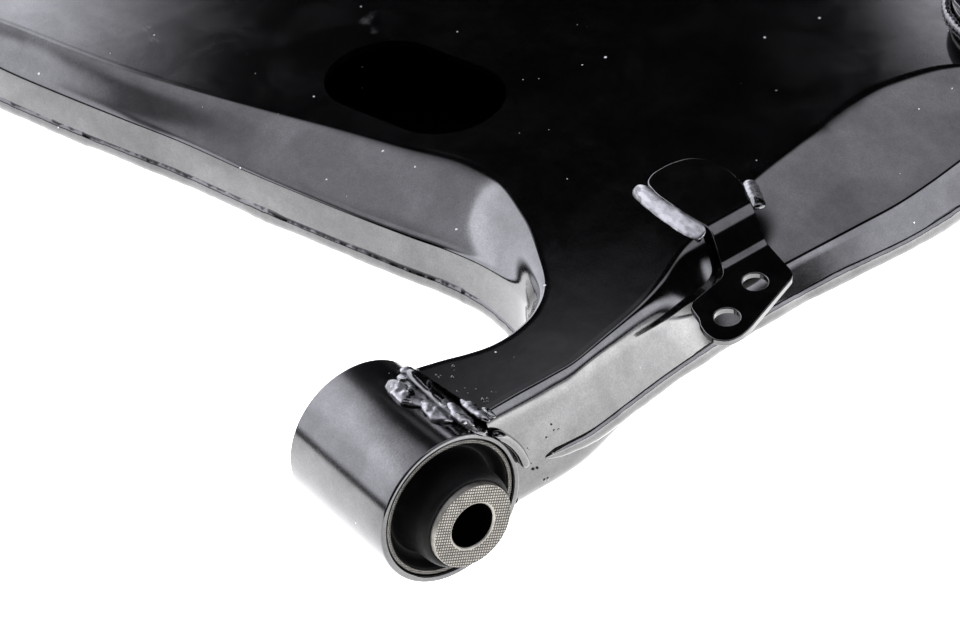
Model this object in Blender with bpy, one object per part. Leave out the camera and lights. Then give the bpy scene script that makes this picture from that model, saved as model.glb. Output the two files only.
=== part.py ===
"""Front lower control arm of a car suspension, as an assembly of separate pieces.

The arm is a hollow box of two pressed steel shells, lap welded along their rims.
It carries a crosswise bush in a welded tube at the front, an upright bush in a
welded ring at the rear, a ball joint at the outer end and a small line bracket.

Units are metres.  Lengths written in millimetres are multiplied by MM.
+X points forward along the front bush, +Y points outboard to the ball joint and
+Z is the upper shell's normal.  The assembly stands on z = 0, and the origin is
the centre of its footprint.
"""

import math
from collections import namedtuple

import bmesh
import bpy
from mathutils import Matrix, Vector

MM = 0.001

# Driving dimensions, millimetres, measured from the front bush's centre.
# The heights count from the plane of that bush's axis.
FOOTPRINT_SHIFT = Vector((165.55, -145.5, 25.0))

SHEET = 2.5
TOP_Z = 25.0
SEAM_Z = 2.5
LAP_TOP_Z = 6.0
LOWER_Z = -6.0
LAP_INSET = 3.3
LOWER_BEND = 4.5
LEG_DROP = 11.0
LEG_DROP_START = 100.0
LEG_DROP_END = 30.0
CLEAR = 0.3
CUT_CLEAR = 0.8

TUBE_R = 25.0
TUBE_BORE_R = 23.0
TUBE_LENGTH = 49.3
FRONT_SLEEVE_R = 13.8
FRONT_SLEEVE_LENGTH = 70.7
BOLT_BORE_R = 7.2
BORE_CHAMFER = 0.64

REAR_CENTRE = Vector((-338.0, 36.0, 0.0))
RING_R = 33.0
RING_BORE_R = 30.4
REAR_SLEEVE_R = 12.0

BALL_CENTRE = Vector((-20.0, 276.0, 8.0))
LOBE_R = 40.0
CARRIER_R = 27.0
CARRIER_BORE_R = 24.4
BALL_R = 14.0
FLOOR_Z = -25.0

OVAL_CENTRE = Vector((-132.6, 102.0, 0.0))
OVAL_HALF_PITCH = 13.6
OVAL_R = 20.5
OVAL_TURN = math.radians(13.3)
DRAIN_HOLES = ((-205.0, 92.0), (-84.0, 176.0))
DRAIN_R = 6.0

BRACKET_SHEET = 2.2
BRACKET_HOLE_R = 4.0

# One station of the rim: the seam's place, how far in the flat top begins,
# how far in the crease lies and the crease's height.
Station = namedtuple("Station", "x y flat lip crease")

FRONT_EDGE = (
    Station(25.5, 17, 4, 1.2, 20),
    Station(25.7, 30, 4.5, 1.5, 20),
    Station(27.0, 42, 5.5, 2.5, 19.5),
    Station(27.3, 52, 6, 3, 19.5),
    Station(25.2, 66, 7, 3.5, 19),
    Station(22.8, 82, 8.5, 4, 18),
    Station(21.4, 96, 12.5, 4.5, 15),
    Station(20.6, 110, 18.5, 4.5, 12.5),
    Station(20.3, 126, 22.5, 4, 12),
    Station(20.6, 146, 27, 4, 12),
    Station(22.5, 165, 34, 4.5, 12.5),
    Station(24.3, 181, 40, 5, 13),
    Station(23.6, 197, 45, 6, 13.5),
    Station(21.6, 212, 40, 6, 14),
    Station(20.2, 228, 24, 4, 17.5),
    Station(19.8, 244, 13, 2.5, 19.5),
    Station(20.0, 260, 9, 2, 19.5),
)
TRAILING_EDGE = (
    Station(-85, 268, 13, 2.2, 18),
    Station(-125, 228, 16, 2.5, 17),
    Station(-168, 189, 17, 2.5, 16.5),
    Station(-212, 154, 17, 2.5, 16.5),
    Station(-257, 122, 15, 2.3, 17),
    Station(-297, 95, 11, 2, 18),
    Station(-322, 79, 8, 2, 19.5),
    Station(-338, 73, 7, 2, 20),
)
INNER_EDGE = (
    Station(-338, 0, 7, 2, 20),
    Station(-318, 2.2, 8, 2, 18.5),
    Station(-296, 5.6, 11, 2.2, 15.5),
    Station(-263, 12.4, 13, 2.4, 14),
    Station(-236, 18.6, 13.5, 2.5, 14),
    Station(-207, 26.1, 14, 2.5, 14),
    Station(-180, 33.4, 16, 2.5, 14),
    Station(-151, 39.6, 21, 2.5, 14),
    Station(-124, 46, 25.5, 2.5, 14),
    Station(-99.5, 52.2, 28.5, 2.5, 14),
    Station(-79, 57.6, 31.5, 3, 14),
    Station(-64, 61.8, 28.5, 3.5, 14),
    Station(-48, 64, 20, 3.8, 14.5),
    Station(-31, 63, 13, 3.5, 16),
    Station(-18, 59.6, 9, 2.5, 18),
    Station(-10, 54, 5.5, 1.8, 19.5),
    Station(-6.6, 46.5, 4.5, 1.5, 20),
    Station(-6.2, 39, 4.5, 1.3, 20),
    Station(-8, 32, 4.5, 1.3, 20),
    Station(-10.5, 25, 4.2, 1.2, 20),
    Station(-13, 17, 4, 1.2, 20),
)
LOBE_STATION_ANGLES = (0, 30, 60, 90, 115, 138)
SPAN_STEPS = 2
SHOULDER_STEPS = 4
NARROW_SHOULDER = 5.0
WIDE_SHOULDER = 16.0

ROUND = 24


# ---------------------------------------------------------------- scene helpers

def clear_scene():
    """Remove every object so that the script starts from nothing."""
    for old in list(bpy.data.objects):
        bpy.data.objects.remove(old, do_unlink=True)


def make_material(name, colour, roughness, metallic):
    """Return a Principled material of one colour."""
    material = bpy.data.materials.new(name)
    material.use_nodes = True
    shader = material.node_tree.nodes["Principled BSDF"]
    shader.inputs["Base Color"].default_value = (*colour, 1.0)
    shader.inputs["Roughness"].default_value = roughness
    shader.inputs["Metallic"].default_value = metallic
    material.diffuse_color = (*colour, 1.0)
    return material


def black_paint(name):
    """Glossy black coat of the steel pieces."""
    return make_material(name, (0.012, 0.012, 0.013), 0.22, 0.0)


def bare_steel(name):
    """Zinc-grey turned steel."""
    return make_material(name, (0.42, 0.41, 0.39), 0.35, 1.0)


def black_rubber(name):
    """Matt black rubber."""
    return make_material(name, (0.015, 0.015, 0.015), 0.8, 0.0)


def add_mesh_object(name, mesh_data, material, origin=Vector((0, 0, 0))):
    """Make an object of a bmesh given in millimetres about origin."""
    bmesh.ops.recalc_face_normals(mesh_data, faces=mesh_data.faces)
    bmesh.ops.scale(mesh_data, vec=(MM, MM, MM), verts=mesh_data.verts)
    mesh = bpy.data.meshes.new(name)
    mesh_data.to_mesh(mesh)
    mesh_data.free()
    mesh.shade_smooth()
    mesh.set_sharp_from_angle(angle=math.radians(32))
    mesh.materials.append(material)
    piece = bpy.data.objects.new(name, mesh)
    piece.location = (origin + FOOTPRINT_SHIFT) * MM
    bpy.context.scene.collection.objects.link(piece)
    return piece


def as_cutter(piece):
    """Mark an object as a tool that only cuts others."""
    piece.hide_render = True
    piece.display_type = "WIRE"
    return piece


def cut(piece, cutter):
    """Subtract cutter from piece with the exact solver."""
    modifier = piece.modifiers.new("cut_" + cutter.name, "BOOLEAN")
    modifier.operation = "DIFFERENCE"
    modifier.solver = "EXACT"
    modifier.object = cutter
    return piece


# ---------------------------------------------------------------- mesh helpers

def turned(profile, steps=ROUND, axis="Z"):
    """Turn a closed (radius, height) outline about axis into a closed body.

    A point of radius zero becomes one vertex on the axis.
    """
    shape = bmesh.new()
    columns = []
    for radius, height in profile:
        if radius == 0:
            columns.append([shape.verts.new((0, 0, height))] * steps)
            continue
        ring = []
        for step in range(steps):
            angle = 2 * math.pi * step / steps
            ring.append(shape.verts.new((radius * math.cos(angle), radius * math.sin(angle), height)))
        columns.append(ring)
    for index, ring in enumerate(columns):
        following = columns[(index + 1) % len(columns)]
        for step in range(steps):
            after = (step + 1) % steps
            corners = [ring[step], ring[after], following[after], following[step]]
            unique = list(dict.fromkeys(corners))
            if len(unique) > 2:
                shape.faces.new(unique)
    if axis == "X":
        bmesh.ops.rotate(shape, matrix=Matrix.Rotation(math.pi / 2, 3, "Y"), verts=shape.verts)
    return shape


def ring_body(inner, outer, low, high, chamfer=0.0, steps=ROUND, axis="Z"):
    """Plain turned ring, its outer edges chamfered."""
    profile = [(inner, low), (outer - chamfer, low)]
    if chamfer:
        profile.append((outer, low + chamfer))
        profile.append((outer, high - chamfer))
    else:
        profile.append((outer, low))
    profile.append((outer - chamfer, high))
    profile.append((inner, high))
    return turned(profile, steps, axis)


def lofted(rings):
    """Join equal closed rings of points into one body with flat ends."""
    shape = bmesh.new()
    made = []
    for ring in rings:
        made.append([shape.verts.new(point) for point in ring])
    count = len(made[0])
    for ring, following in zip(made, made[1:]):
        for index in range(count):
            after = (index + 1) % count
            shape.faces.new((ring[index], ring[after], following[after], following[index]))
    shape.faces.new(made[0])
    shape.faces.new(made[-1][::-1])
    return shape


def prism(outline, low, high):
    """Upright prism on a plan outline."""
    bottom = [Vector((x, y, low)) for x, y in outline]
    top = [Vector((x, y, high)) for x, y in outline]
    return lofted([bottom, top])


def bead_along_x(section, start, end):
    """Prism along X with a (y, z) section."""
    first = [Vector((start, y, z)) for y, z in section]
    last = [Vector((end, y, z)) for y, z in section]
    return lofted([first, last])


def bead_on_arc(section, first_angle, last_angle, steps, axis="Z"):
    """Bead whose (radius, height) section sweeps an arc about axis, in degrees."""
    rings = []
    for step in range(steps + 1):
        angle = math.radians(first_angle + (last_angle - first_angle) * step / steps)
        ring = []
        for radius, height in section:
            across = radius * math.cos(angle)
            along = radius * math.sin(angle)
            if axis == "Z":
                ring.append(Vector((across, along, height)))
            else:
                ring.append(Vector((height, across, along)))
        rings.append(ring)
    return lofted(rings)


def corner(before, middle, after, steps):
    """Points of a quadratic curve that rounds one corner."""
    points = []
    for step in range(steps + 1):
        t = step / steps
        points.append(before * (1 - t) ** 2 + middle * 2 * t * (1 - t) + after * t ** 2)
    return points


def smooth_step(t):
    """Ease from 0 to 1 with level ends."""
    t = min(max(t, 0.0), 1.0)
    return t * t * (3 - 2 * t)


# ---------------------------------------------------------------- rim of the shells

def lobe_stations():
    """Stations on the round end that holds the ball joint."""
    stations = []
    for degrees in LOBE_STATION_ANGLES:
        angle = math.radians(degrees)
        x = BALL_CENTRE.x + LOBE_R * math.cos(angle)
        y = BALL_CENTRE.y + LOBE_R * math.sin(angle)
        stations.append(Station(x, y, 8, 2, 19.5))
    return tuple(stations)


def curve_through(stations, steps=SPAN_STEPS):
    """Catmull-Rom curve through the stations, in all five values at once."""
    padded = [stations[0], *stations, stations[-1]]
    points = []
    for index in range(len(stations) - 1):
        a, b, c, d = padded[index:index + 4]
        for step in range(steps):
            t = step / steps
            values = []
            for p, q, r, s in zip(a, b, c, d):
                bend = (2 * p - 5 * q + 4 * r - s) * t * t + (3 * q - p - 3 * r + s) * t ** 3
                values.append(0.5 * (2 * q + (r - p) * t + bend))
            points.append(Station(*values))
    points.append(stations[-1])
    return points


def inward_normals(points):
    """Unit plan normals that point to the left of the run, into the arm."""
    normals = []
    last = len(points) - 1
    for index in range(len(points)):
        before = points[max(index - 1, 0)]
        after = points[min(index + 1, last)]
        run = Vector((after.x - before.x, after.y - before.y))
        run.normalize()
        normals.append(Vector((-run.y, run.x)))
    return normals


def placed(station, normal, inset, z):
    """Point at an inset from the seam and a height."""
    return Vector((station.x + normal.x * inset, station.y + normal.y * inset, z))


def upper_section(station):
    """(inset, height) points of the upper shell from its rim to its flat top."""
    base = Vector((0.0, SEAM_Z))
    edge = Vector((station.lip, station.crease))
    width = station.flat - station.lip
    ledge = smooth_step((width - NARROW_SHOULDER) / (WIDE_SHOULDER - NARROW_SHOULDER))
    shoulder = []
    for step in range(1, SHOULDER_STEPS + 1):
        t = step / SHOULDER_STEPS
        rounded = math.sin(t * math.pi / 2)
        rise = rounded + (smooth_step(t) - rounded) * ledge
        shoulder.append(Vector((station.lip + width * t, station.crease + (TOP_Z - station.crease) * rise)))
    wall_point = edge + (base - edge).normalized() * 1.6
    shelf_point = edge + (shoulder[0] - edge) * 0.5
    return [base, *corner(wall_point, edge, shelf_point, 2), *shoulder]


def wall_lean(station, z):
    """How far the upper shell's wall has leaned in at height z."""
    return max(0.0, station.lip * (z - SEAM_Z) / (station.crease - SEAM_Z))


def lower_section(station):
    """(inset, height) points of the lower shell from its rim to its flat floor."""
    rim = Vector((LAP_INSET + wall_lean(station, LAP_TOP_Z), LAP_TOP_Z))
    lap = Vector((LAP_INSET, SEAM_Z))
    bend_start = Vector((LAP_INSET, LOWER_Z + LOWER_BEND))
    bend_middle = Vector((LAP_INSET, LOWER_Z))
    bend_end = Vector((LAP_INSET + LOWER_BEND, LOWER_Z))
    return [rim, lap, *corner(bend_start, bend_middle, bend_end, 3)]


def rim_runs():
    """The two open runs of the rim: front round to trailing, and inner."""
    outer = curve_through(FRONT_EDGE + lobe_stations() + TRAILING_EDGE)
    inner = curve_through(INNER_EDGE)
    return outer, inner


def skin(section):
    """Open skin of both walls and the flat between them."""
    shape = bmesh.new()
    flat = []
    for run in rim_runs():
        rows = []
        for station, normal in zip(run, inward_normals(run)):
            rows.append([shape.verts.new(placed(station, normal, *point)) for point in section(station)])
        for row, following in zip(rows, rows[1:]):
            for index in range(len(row) - 1):
                shape.faces.new((row[index], following[index], following[index + 1], row[index + 1]))
        flat.extend(row[-1] for row in rows)
    shape.faces.new(flat)
    return shape


def plate_modifier(piece, outward):
    """Give a skin its sheet thickness on the inner side."""
    modifier = piece.modifiers.new("sheet", "SOLIDIFY")
    modifier.thickness = SHEET * MM
    modifier.offset = -1.0 if outward else 1.0
    modifier.use_even_offset = True
    return piece


def skin_faces_up(shape):
    """True when the largest face of the skin points up."""
    bmesh.ops.recalc_face_normals(shape, faces=shape.faces)
    largest = max(shape.faces, key=lambda face: face.calc_area())
    return largest.normal.z > 0


def orient_skin(shape, up):
    """Turn an open skin's faces to the outside of the box."""
    if skin_faces_up(shape) != up:
        bmesh.ops.reverse_faces(shape, faces=shape.faces)
    return shape


def skin_object(name, shape, up, material):
    """Make the object of an oriented skin without turning its faces again."""
    orient_skin(shape, up)
    bmesh.ops.scale(shape, vec=(MM, MM, MM), verts=shape.verts)
    mesh = bpy.data.meshes.new(name)
    shape.to_mesh(mesh)
    shape.free()
    mesh.shade_smooth()
    mesh.set_sharp_from_angle(angle=math.radians(32))
    mesh.materials.append(material)
    piece = bpy.data.objects.new(name, mesh)
    piece.location = FOOTPRINT_SHIFT * MM
    bpy.context.scene.collection.objects.link(piece)
    return plate_modifier(piece, True)


# ---------------------------------------------------------------- cutters

def cylinder_cutter(name, radius, low, high, centre, axis="Z"):
    """Round cutter about centre."""
    shape = turned([(0, low), (radius, low), (radius, high), (0, high)], ROUND, axis)
    return as_cutter(add_mesh_object(name, shape, black_paint(name), centre))


def oval_outline(steps=10):
    """Outline of the long hole in the upper shell."""
    outline = []
    for side in (1, -1):
        for step in range(steps + 1):
            angle = math.pi * step / steps - math.pi / 2
            x = side * (OVAL_HALF_PITCH + OVAL_R * math.cos(angle))
            y = side * OVAL_R * math.sin(angle)
            turn_cos = math.cos(OVAL_TURN)
            turn_sin = math.sin(OVAL_TURN)
            outline.append((x * turn_cos - y * turn_sin, x * turn_sin + y * turn_cos))
    return outline


def make_cutters():
    """All cutters that open the two shells."""
    front = Vector((0, 0, 0))
    rear = Vector((REAR_CENTRE.x, REAR_CENTRE.y, 0))
    ball = Vector((BALL_CENTRE.x, BALL_CENTRE.y, 0))
    shared = [
        cylinder_cutter("cut_tube", TUBE_R + CUT_CLEAR, -60, 60, front, "X"),
        cylinder_cutter("cut_ring", RING_R + CUT_CLEAR, -40, 60, rear),
        cylinder_cutter("cut_carrier", CARRIER_R + CUT_CLEAR, -40, 60, ball),
    ]
    oval = add_mesh_object("cut_oval", prism(oval_outline(), 12, 40), black_paint("cut_oval"), OVAL_CENTRE)
    drains = []
    for index, (x, y) in enumerate(DRAIN_HOLES):
        name = "cut_drain_" + str(index + 1)
        drains.append(cylinder_cutter(name, DRAIN_R, -20, 2, Vector((x, y, 0))))
    return shared, as_cutter(oval), drains


# ---------------------------------------------------------------- shells and seams

def leg_drop(x, y):
    """Depth that the lower shell gains towards the front tube."""
    reach = math.hypot(x, y)
    return LEG_DROP * smooth_step((LEG_DROP_START - reach) / (LEG_DROP_START - LEG_DROP_END))


def slice_mesh(shape, point, normal):
    """Add an edge loop where a plane crosses the whole mesh."""
    everything = [*shape.verts, *shape.edges, *shape.faces]
    bmesh.ops.bisect_plane(shape, geom=everything, plane_co=point, plane_no=normal)


def deepen_leg(shape):
    """Lower the floor of the lower shell towards the front tube."""
    for step in range(7):
        slice_mesh(shape, (0, 24.0 + 12.0 * step, 0), (0, 1, 0))
    for step in range(3):
        slice_mesh(shape, (-52.0 + 20.0 * step, 0, 0), (1, 0, 0))
    for vertex in shape.verts:
        share = min(max((2.0 - vertex.co.z) / (2.0 - LOWER_Z), 0.0), 1.0)
        vertex.co.z -= share * leg_drop(vertex.co.x, vertex.co.y)


def make_upper_shell(shared_cutters, oval):
    """Pressed upper shell with its flat top, shoulder and walls."""
    piece = skin_object("upper_shell", skin(upper_section), True, black_paint("upper_shell"))
    for cutter in [*shared_cutters, oval]:
        cut(piece, cutter)
    return piece


def make_lower_shell(shared_cutters, drains):
    """Pressed lower shell, a shallow pan set inside the upper shell's rim."""
    shape = skin(lower_section)
    deepen_leg(shape)
    piece = skin_object("lower_shell", shape, False, black_paint("lower_shell"))
    for cutter in [*shared_cutters, *drains]:
        cut(piece, cutter)
    return piece


def bead_section(station):
    """(inset, height) corners of the lap weld under the rim of one station."""
    width = LAP_INSET - 0.4
    slope = station.lip / (station.crease - SEAM_Z)
    top = SEAM_Z - 0.4
    return ((0.2, top), (width, top - width * slope), (width, -1.6), (1.9, -1.0), (0.7, 0.5))


def seam_bead(name, run, first, last):
    """Lap weld under the upper shell's rim between two shares of a run."""
    start = round(first * (len(run) - 1))
    end = round(last * (len(run) - 1))
    rings = []
    for station, normal in list(zip(run, inward_normals(run)))[start:end + 1]:
        rings.append([placed(station, normal, inset, z) for inset, z in bead_section(station)])
    return add_mesh_object(name, lofted(rings), black_paint(name))


def make_seam_welds():
    """The three long lap welds."""
    outer, inner = rim_runs()
    seam_bead("front_seam_weld", outer, 0.045, 0.56)
    seam_bead("trailing_seam_weld", outer, 0.585, 0.965)
    seam_bead("inner_seam_weld", inner, 0.05, 0.93)


# ---------------------------------------------------------------- front bush

def make_front_bush_housing():
    """Welded tube that holds the front bush."""
    half = TUBE_LENGTH / 2
    profile = [
        (TUBE_BORE_R, -half + 0.6), (TUBE_BORE_R + 0.6, -half), (TUBE_R - 0.4, -half), (TUBE_R, -half + 0.4),
        (TUBE_R, half - 0.4), (TUBE_R - 0.4, half), (TUBE_BORE_R + 0.6, half), (TUBE_BORE_R, half - 0.6),
    ]
    name = "front_bush_housing"
    return add_mesh_object(name, turned(profile, ROUND, "X"), black_paint(name))


def make_front_housing_welds():
    """Four beads that join the shells' ends to the tube."""
    top = ((10.2, 23.7), (12.6, 22.5), (15.3, 20.6), (15.35, 24.9), (14.0, 26.2), (11.8, 25.9))
    name = "front_housing_weld_upper"
    add_mesh_object(name, bead_along_x(top, -10.5, 22.5), black_paint(name))
    under = ((16.3, -20.2), (18.3, -18.0), (23.5, -17.5), (21.0, -20.2), (17.2, -21.8))
    name = "front_housing_weld_lower"
    add_mesh_object(name, bead_along_x(under, -7.0, 19.5), black_paint(name))
    forward = ((24.4, 26.4), (28.3, 26.4), (27.6, 27.9), (25.2, 27.9))
    name = "front_housing_weld_forward"
    add_mesh_object(name, bead_on_arc(forward, 8, 46, 10, "X"), black_paint(name))
    backward = ((25.5, -13.8), (29.6, -13.8), (28.8, -15.3), (26.2, -15.3))
    name = "front_housing_weld_backward"
    add_mesh_object(name, bead_on_arc(backward, 8, 46, 10, "X"), black_paint(name))


def make_front_bush():
    """Outer can, bonded rubber and knurl-faced inner sleeve."""
    name = "front_bush_outer_can"
    add_mesh_object(name, ring_body(21.5, 22.6, -23.3, 23.3, 0.3, ROUND, "X"), bare_steel(name))
    name = "front_bush_rubber"
    hole = FRONT_SLEEVE_R + CLEAR
    side = [(21.2, 21.5), (19.6, 19.4), (17.6, 19.0), (16.6, 20.5), (16.3, 31.0), (15.4, 32.6), (hole, 33.0)]
    profile = [(radius, -height) for radius, height in reversed(side)] + side
    add_mesh_object(name, turned(profile, ROUND, "X"), black_rubber(name))
    name = "front_bush_inner_sleeve"
    add_mesh_object(name, sleeve_shape(FRONT_SLEEVE_R, -FRONT_SLEEVE_LENGTH / 2, FRONT_SLEEVE_LENGTH / 2, "X"),
                    bare_steel(name))


def sleeve_shape(radius, low, high, axis):
    """Thick bush sleeve with a chamfered bolt bore."""
    mouth = BOLT_BORE_R + BORE_CHAMFER
    profile = [
        (BOLT_BORE_R, low + BORE_CHAMFER), (mouth, low), (radius - 0.5, low), (radius, low + 0.5),
        (radius, high - 0.5), (radius - 0.5, high), (mouth, high), (BOLT_BORE_R, high - BORE_CHAMFER),
    ]
    return turned(profile, ROUND, axis)


# ---------------------------------------------------------------- rear bush

def make_rear_bush_housing():
    """Upright welded ring and its beads."""
    name = "rear_bush_housing"
    add_mesh_object(name, ring_body(RING_BORE_R, RING_R, -20, 29, 0.5), black_paint(name), REAR_CENTRE)
    name = "rear_housing_weld_upper"
    upper = ((33.4, 25.3), (36.8, 25.3), (35.2, 27.6), (33.4, 28.4))
    add_mesh_object(name, bead_on_arc(upper, -50, 50, 16), black_paint(name), REAR_CENTRE)
    name = "rear_housing_weld_lower"
    lower = ((33.4, -6.3), (36.8, -6.3), (35.2, -8.6), (33.4, -9.4))
    add_mesh_object(name, bead_on_arc(lower, -48, 48, 16), black_paint(name), REAR_CENTRE)


def kidney_cutter(name, middle_angle):
    """Curved slot through the rear rubber."""
    section = ((16.5, -40), (24.5, -40), (24.5, 40), (16.5, 40))
    shape = bead_on_arc(section, middle_angle - 48, middle_angle + 48, 14)
    return as_cutter(add_mesh_object(name, shape, black_rubber(name), REAR_CENTRE))


def make_rear_bush():
    """Outer can, slotted rubber and upright inner sleeve."""
    name = "rear_bush_outer_can"
    add_mesh_object(name, ring_body(28.9, 30.1, -18, 27, 0.3), bare_steel(name), REAR_CENTRE)
    name = "rear_bush_rubber"
    hole = REAR_SLEEVE_R + CLEAR
    profile = [
        (hole, -21.5), (14.6, -21.0), (15.6, -17.5), (24.0, -14.5), (28.6, -16.0),
        (28.6, 25.0), (24.0, 23.5), (15.6, 26.5), (14.6, 30.0), (hole, 30.5),
    ]
    rubber = add_mesh_object(name, turned(profile), black_rubber(name), REAR_CENTRE)
    cut(rubber, kidney_cutter("cut_kidney_forward", 0))
    cut(rubber, kidney_cutter("cut_kidney_backward", 180))
    name = "rear_bush_inner_sleeve"
    add_mesh_object(name, sleeve_shape(REAR_SLEEVE_R, FLOOR_Z, 34.0, "Z"), bare_steel(name), REAR_CENTRE)


# ---------------------------------------------------------------- line bracket

BRACKET_TOP_Z = TOP_Z + CLEAR + BRACKET_SHEET
BRACKET_PATH = ((-36.0, BRACKET_TOP_Z), (3.0, BRACKET_TOP_Z), (11.6, 19.6), (44.0, 16.8))
BRACKET_BEND = 2.6
BRACKET_BASE = (
    (3.0, 119.4), (-10.0, 118.6), (-24.0, 118.9), (-31.0, 120.6), (-33.4, 125.0), (-33.6, 132.0),
    (-31.6, 138.4), (-26.0, 142.2), (-17.0, 143.2), (-8.0, 141.6), (-2.0, 138.2), (3.0, 136.2),
)
BRACKET_TONGUE = (
    (11.9, 133.4), (27.6, 130.6), (29.9, 128.6), (39.0, 104.0), (39.9, 99.6), (39.2, 95.6),
    (36.2, 92.9), (31.6, 92.6), (27.6, 93.8), (25.6, 95.2), (18.4, 97.0), (15.2, 113.0), (11.9, 115.8),
)
BRACKET_HOLES = ((23.6, 118.9), (30.4, 102.2))


def bracket_path():
    """Rounded side view of the bracket's upper face, as (x, z) points."""
    nodes = [Vector(point) for point in BRACKET_PATH]
    points = [nodes[0]]
    for before, node, after in zip(nodes, nodes[1:], nodes[2:]):
        start = node + (before - node).normalized() * BRACKET_BEND
        end = node + (after - node).normalized() * BRACKET_BEND
        points.extend(corner(start, node, end, 4))
    points.append(nodes[-1])
    return points


def path_lengths(points):
    """Distance along the path at each of its points."""
    lengths = [0.0]
    for before, after in zip(points, points[1:]):
        lengths.append(lengths[-1] + (after - before).length)
    return lengths


def unrolled(x, points, lengths):
    """Distance along the path where it crosses x."""
    for index in range(len(points) - 1):
        if x <= points[index + 1].x:
            break
    share = (x - points[index].x) / (points[index + 1].x - points[index].x)
    return lengths[index] + share * (lengths[index + 1] - lengths[index])


def folded(vertex, points, lengths):
    """Place of a blank's vertex once the blank is bent along the path."""
    index = 0
    while index < len(points) - 2 and vertex.x > lengths[index + 1] + 1e-6:
        index += 1
    share = (vertex.x - lengths[index]) / (lengths[index + 1] - lengths[index])
    place = points[index].lerp(points[index + 1], share)
    first = path_normal(points, index)
    second = path_normal(points, index + 1)
    normal = first.lerp(second, share)
    lowered = place + normal * vertex.z
    return Vector((lowered.x, vertex.y, lowered.y))


def path_normal(points, index):
    """Upward normal of the path at one point."""
    before = points[max(index - 1, 0)]
    after = points[min(index + 1, len(points) - 1)]
    run = (after - before).normalized()
    return Vector((-run.y, run.x))


def bracket_sheet():
    """Blank of the bracket, folded along its two bend lines."""
    points = bracket_path()
    lengths = path_lengths(points)
    outline = []
    for x, y in BRACKET_BASE + BRACKET_TONGUE:
        outline.append((unrolled(x, points, lengths), y))
    shape = prism(outline, -BRACKET_SHEET, 0.0)
    for length in lengths[1:-1]:
        slice_mesh(shape, (length, 0, 0), (1, 0, 0))
    for vertex in shape.verts:
        vertex.co = folded(vertex.co, points, lengths)
    return shape


def make_bracket():
    """Folded line bracket with two clip holes in its tongue."""
    name = "line_bracket"
    piece = add_mesh_object(name, bracket_sheet(), black_paint(name))
    for index, (x, y) in enumerate(BRACKET_HOLES):
        hole = "cut_bracket_hole_" + str(index + 1)
        cut(piece, cylinder_cutter(hole, BRACKET_HOLE_R, 8, 26, Vector((x, y, 0))))
    return piece


def make_bracket_welds():
    """Fillet along the bracket's inboard side and a short one outboard."""
    name = "bracket_weld_inboard"
    start = [(-33.0, 116.8, 25.3), (-33.0, 119.6, 25.3), (-33.0, 119.3, 26.8), (-33.0, 117.4, 26.6)]
    middle = [(-24.0, 113.6, 25.3), (-24.0, 118.5, 25.3), (-24.0, 118.3, 28.4), (-24.0, 115.0, 27.8)]
    near_end = [(-4.0, 111.8, 25.3), (-4.0, 118.4, 25.3), (-4.0, 118.2, 28.4), (-4.0, 113.4, 27.6)]
    end = [(1.6, 112.6, 25.3), (1.6, 118.8, 25.3), (1.6, 118.6, 27.0), (1.6, 113.4, 26.6)]
    rings = [[Vector(point) for point in ring] for ring in (start, middle, near_end, end)]
    add_mesh_object(name, lofted(rings), black_paint(name))
    name = "bracket_weld_outboard"
    outline = ((-8.4, 142.2), (-1.8, 138.7), (2.4, 136.9), (3.4, 139.2), (-1.0, 144.2), (-7.0, 146.0))
    add_mesh_object(name, prism(outline, 25.3, 28.2), black_paint(name))


# ---------------------------------------------------------------- ball joint

BALL_AXIS = Vector((BALL_CENTRE.x, BALL_CENTRE.y, 0.0))


def make_carrier():
    """Ring welded through both shells to take the ball joint."""
    name = "ball_joint_carrier"
    add_mesh_object(name, ring_body(CARRIER_BORE_R, CARRIER_R, -20, 28.6, 0.4), black_paint(name), BALL_AXIS)
    name = "carrier_weld_upper"
    upper = [(27.4, 25.3), (30.8, 25.3), (29.4, 27.2), (27.4, 28.0)]
    add_mesh_object(name, turned(upper), black_paint(name), BALL_AXIS)
    name = "carrier_weld_lower"
    lower = [(27.4, -6.3), (30.8, -6.3), (29.4, -8.4), (27.4, -9.4)]
    add_mesh_object(name, turned(lower), black_paint(name), BALL_AXIS)


def make_ball_joint_housing():
    """Forged housing: flange below, socket bore, flared mouth and ring groove."""
    name = "ball_joint_housing"
    profile = [
        (20.0, FLOOR_Z), (28.4, FLOOR_Z), (29.0, -24.4), (29.0, -20.3), (24.1, -20.3), (24.1, 28.9),
        (22.7, 28.9), (22.7, 31.0), (24.1, 31.0), (24.1, 34.6), (23.7, 35.0), (20.9, 35.0),
        (14.4, 20.0), (13.6, 17.0), (17.8, 16.0), (17.8, -11.0), (20.0, -11.0),
    ]
    add_mesh_object(name, turned(profile), bare_steel(name), BALL_AXIS)
    name = "ball_joint_cap"
    cap = [(0, -13.6), (12.0, -13.6), (14.0, -15.2), (19.7, -15.2), (19.7, -11.3), (14.5, -11.3), (12.5, -10.2), (0, -10.2)]
    add_mesh_object(name, turned(cap), bare_steel(name), BALL_AXIS)


def make_ball_joint_seat():
    """Plastic cup around the ball."""
    name = "ball_joint_seat"
    cup_r = BALL_R + CLEAR
    profile = [(17.5, -9.8), (17.5, 15.7), (15.0, 16.3)]
    top_angle = math.asin(7.4 / cup_r)
    bottom_angle = -math.radians(62)
    steps = 6
    for step in range(steps + 1):
        angle = top_angle + (bottom_angle - top_angle) * step / steps
        profile.append((cup_r * math.cos(angle), BALL_CENTRE.z + cup_r * math.sin(angle)))
    profile.append((cup_r * math.cos(bottom_angle), -9.8))
    plastic = make_material(name, (0.75, 0.74, 0.70), 0.45, 0.0)
    add_mesh_object(name, turned(profile), plastic, BALL_AXIS)


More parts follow.
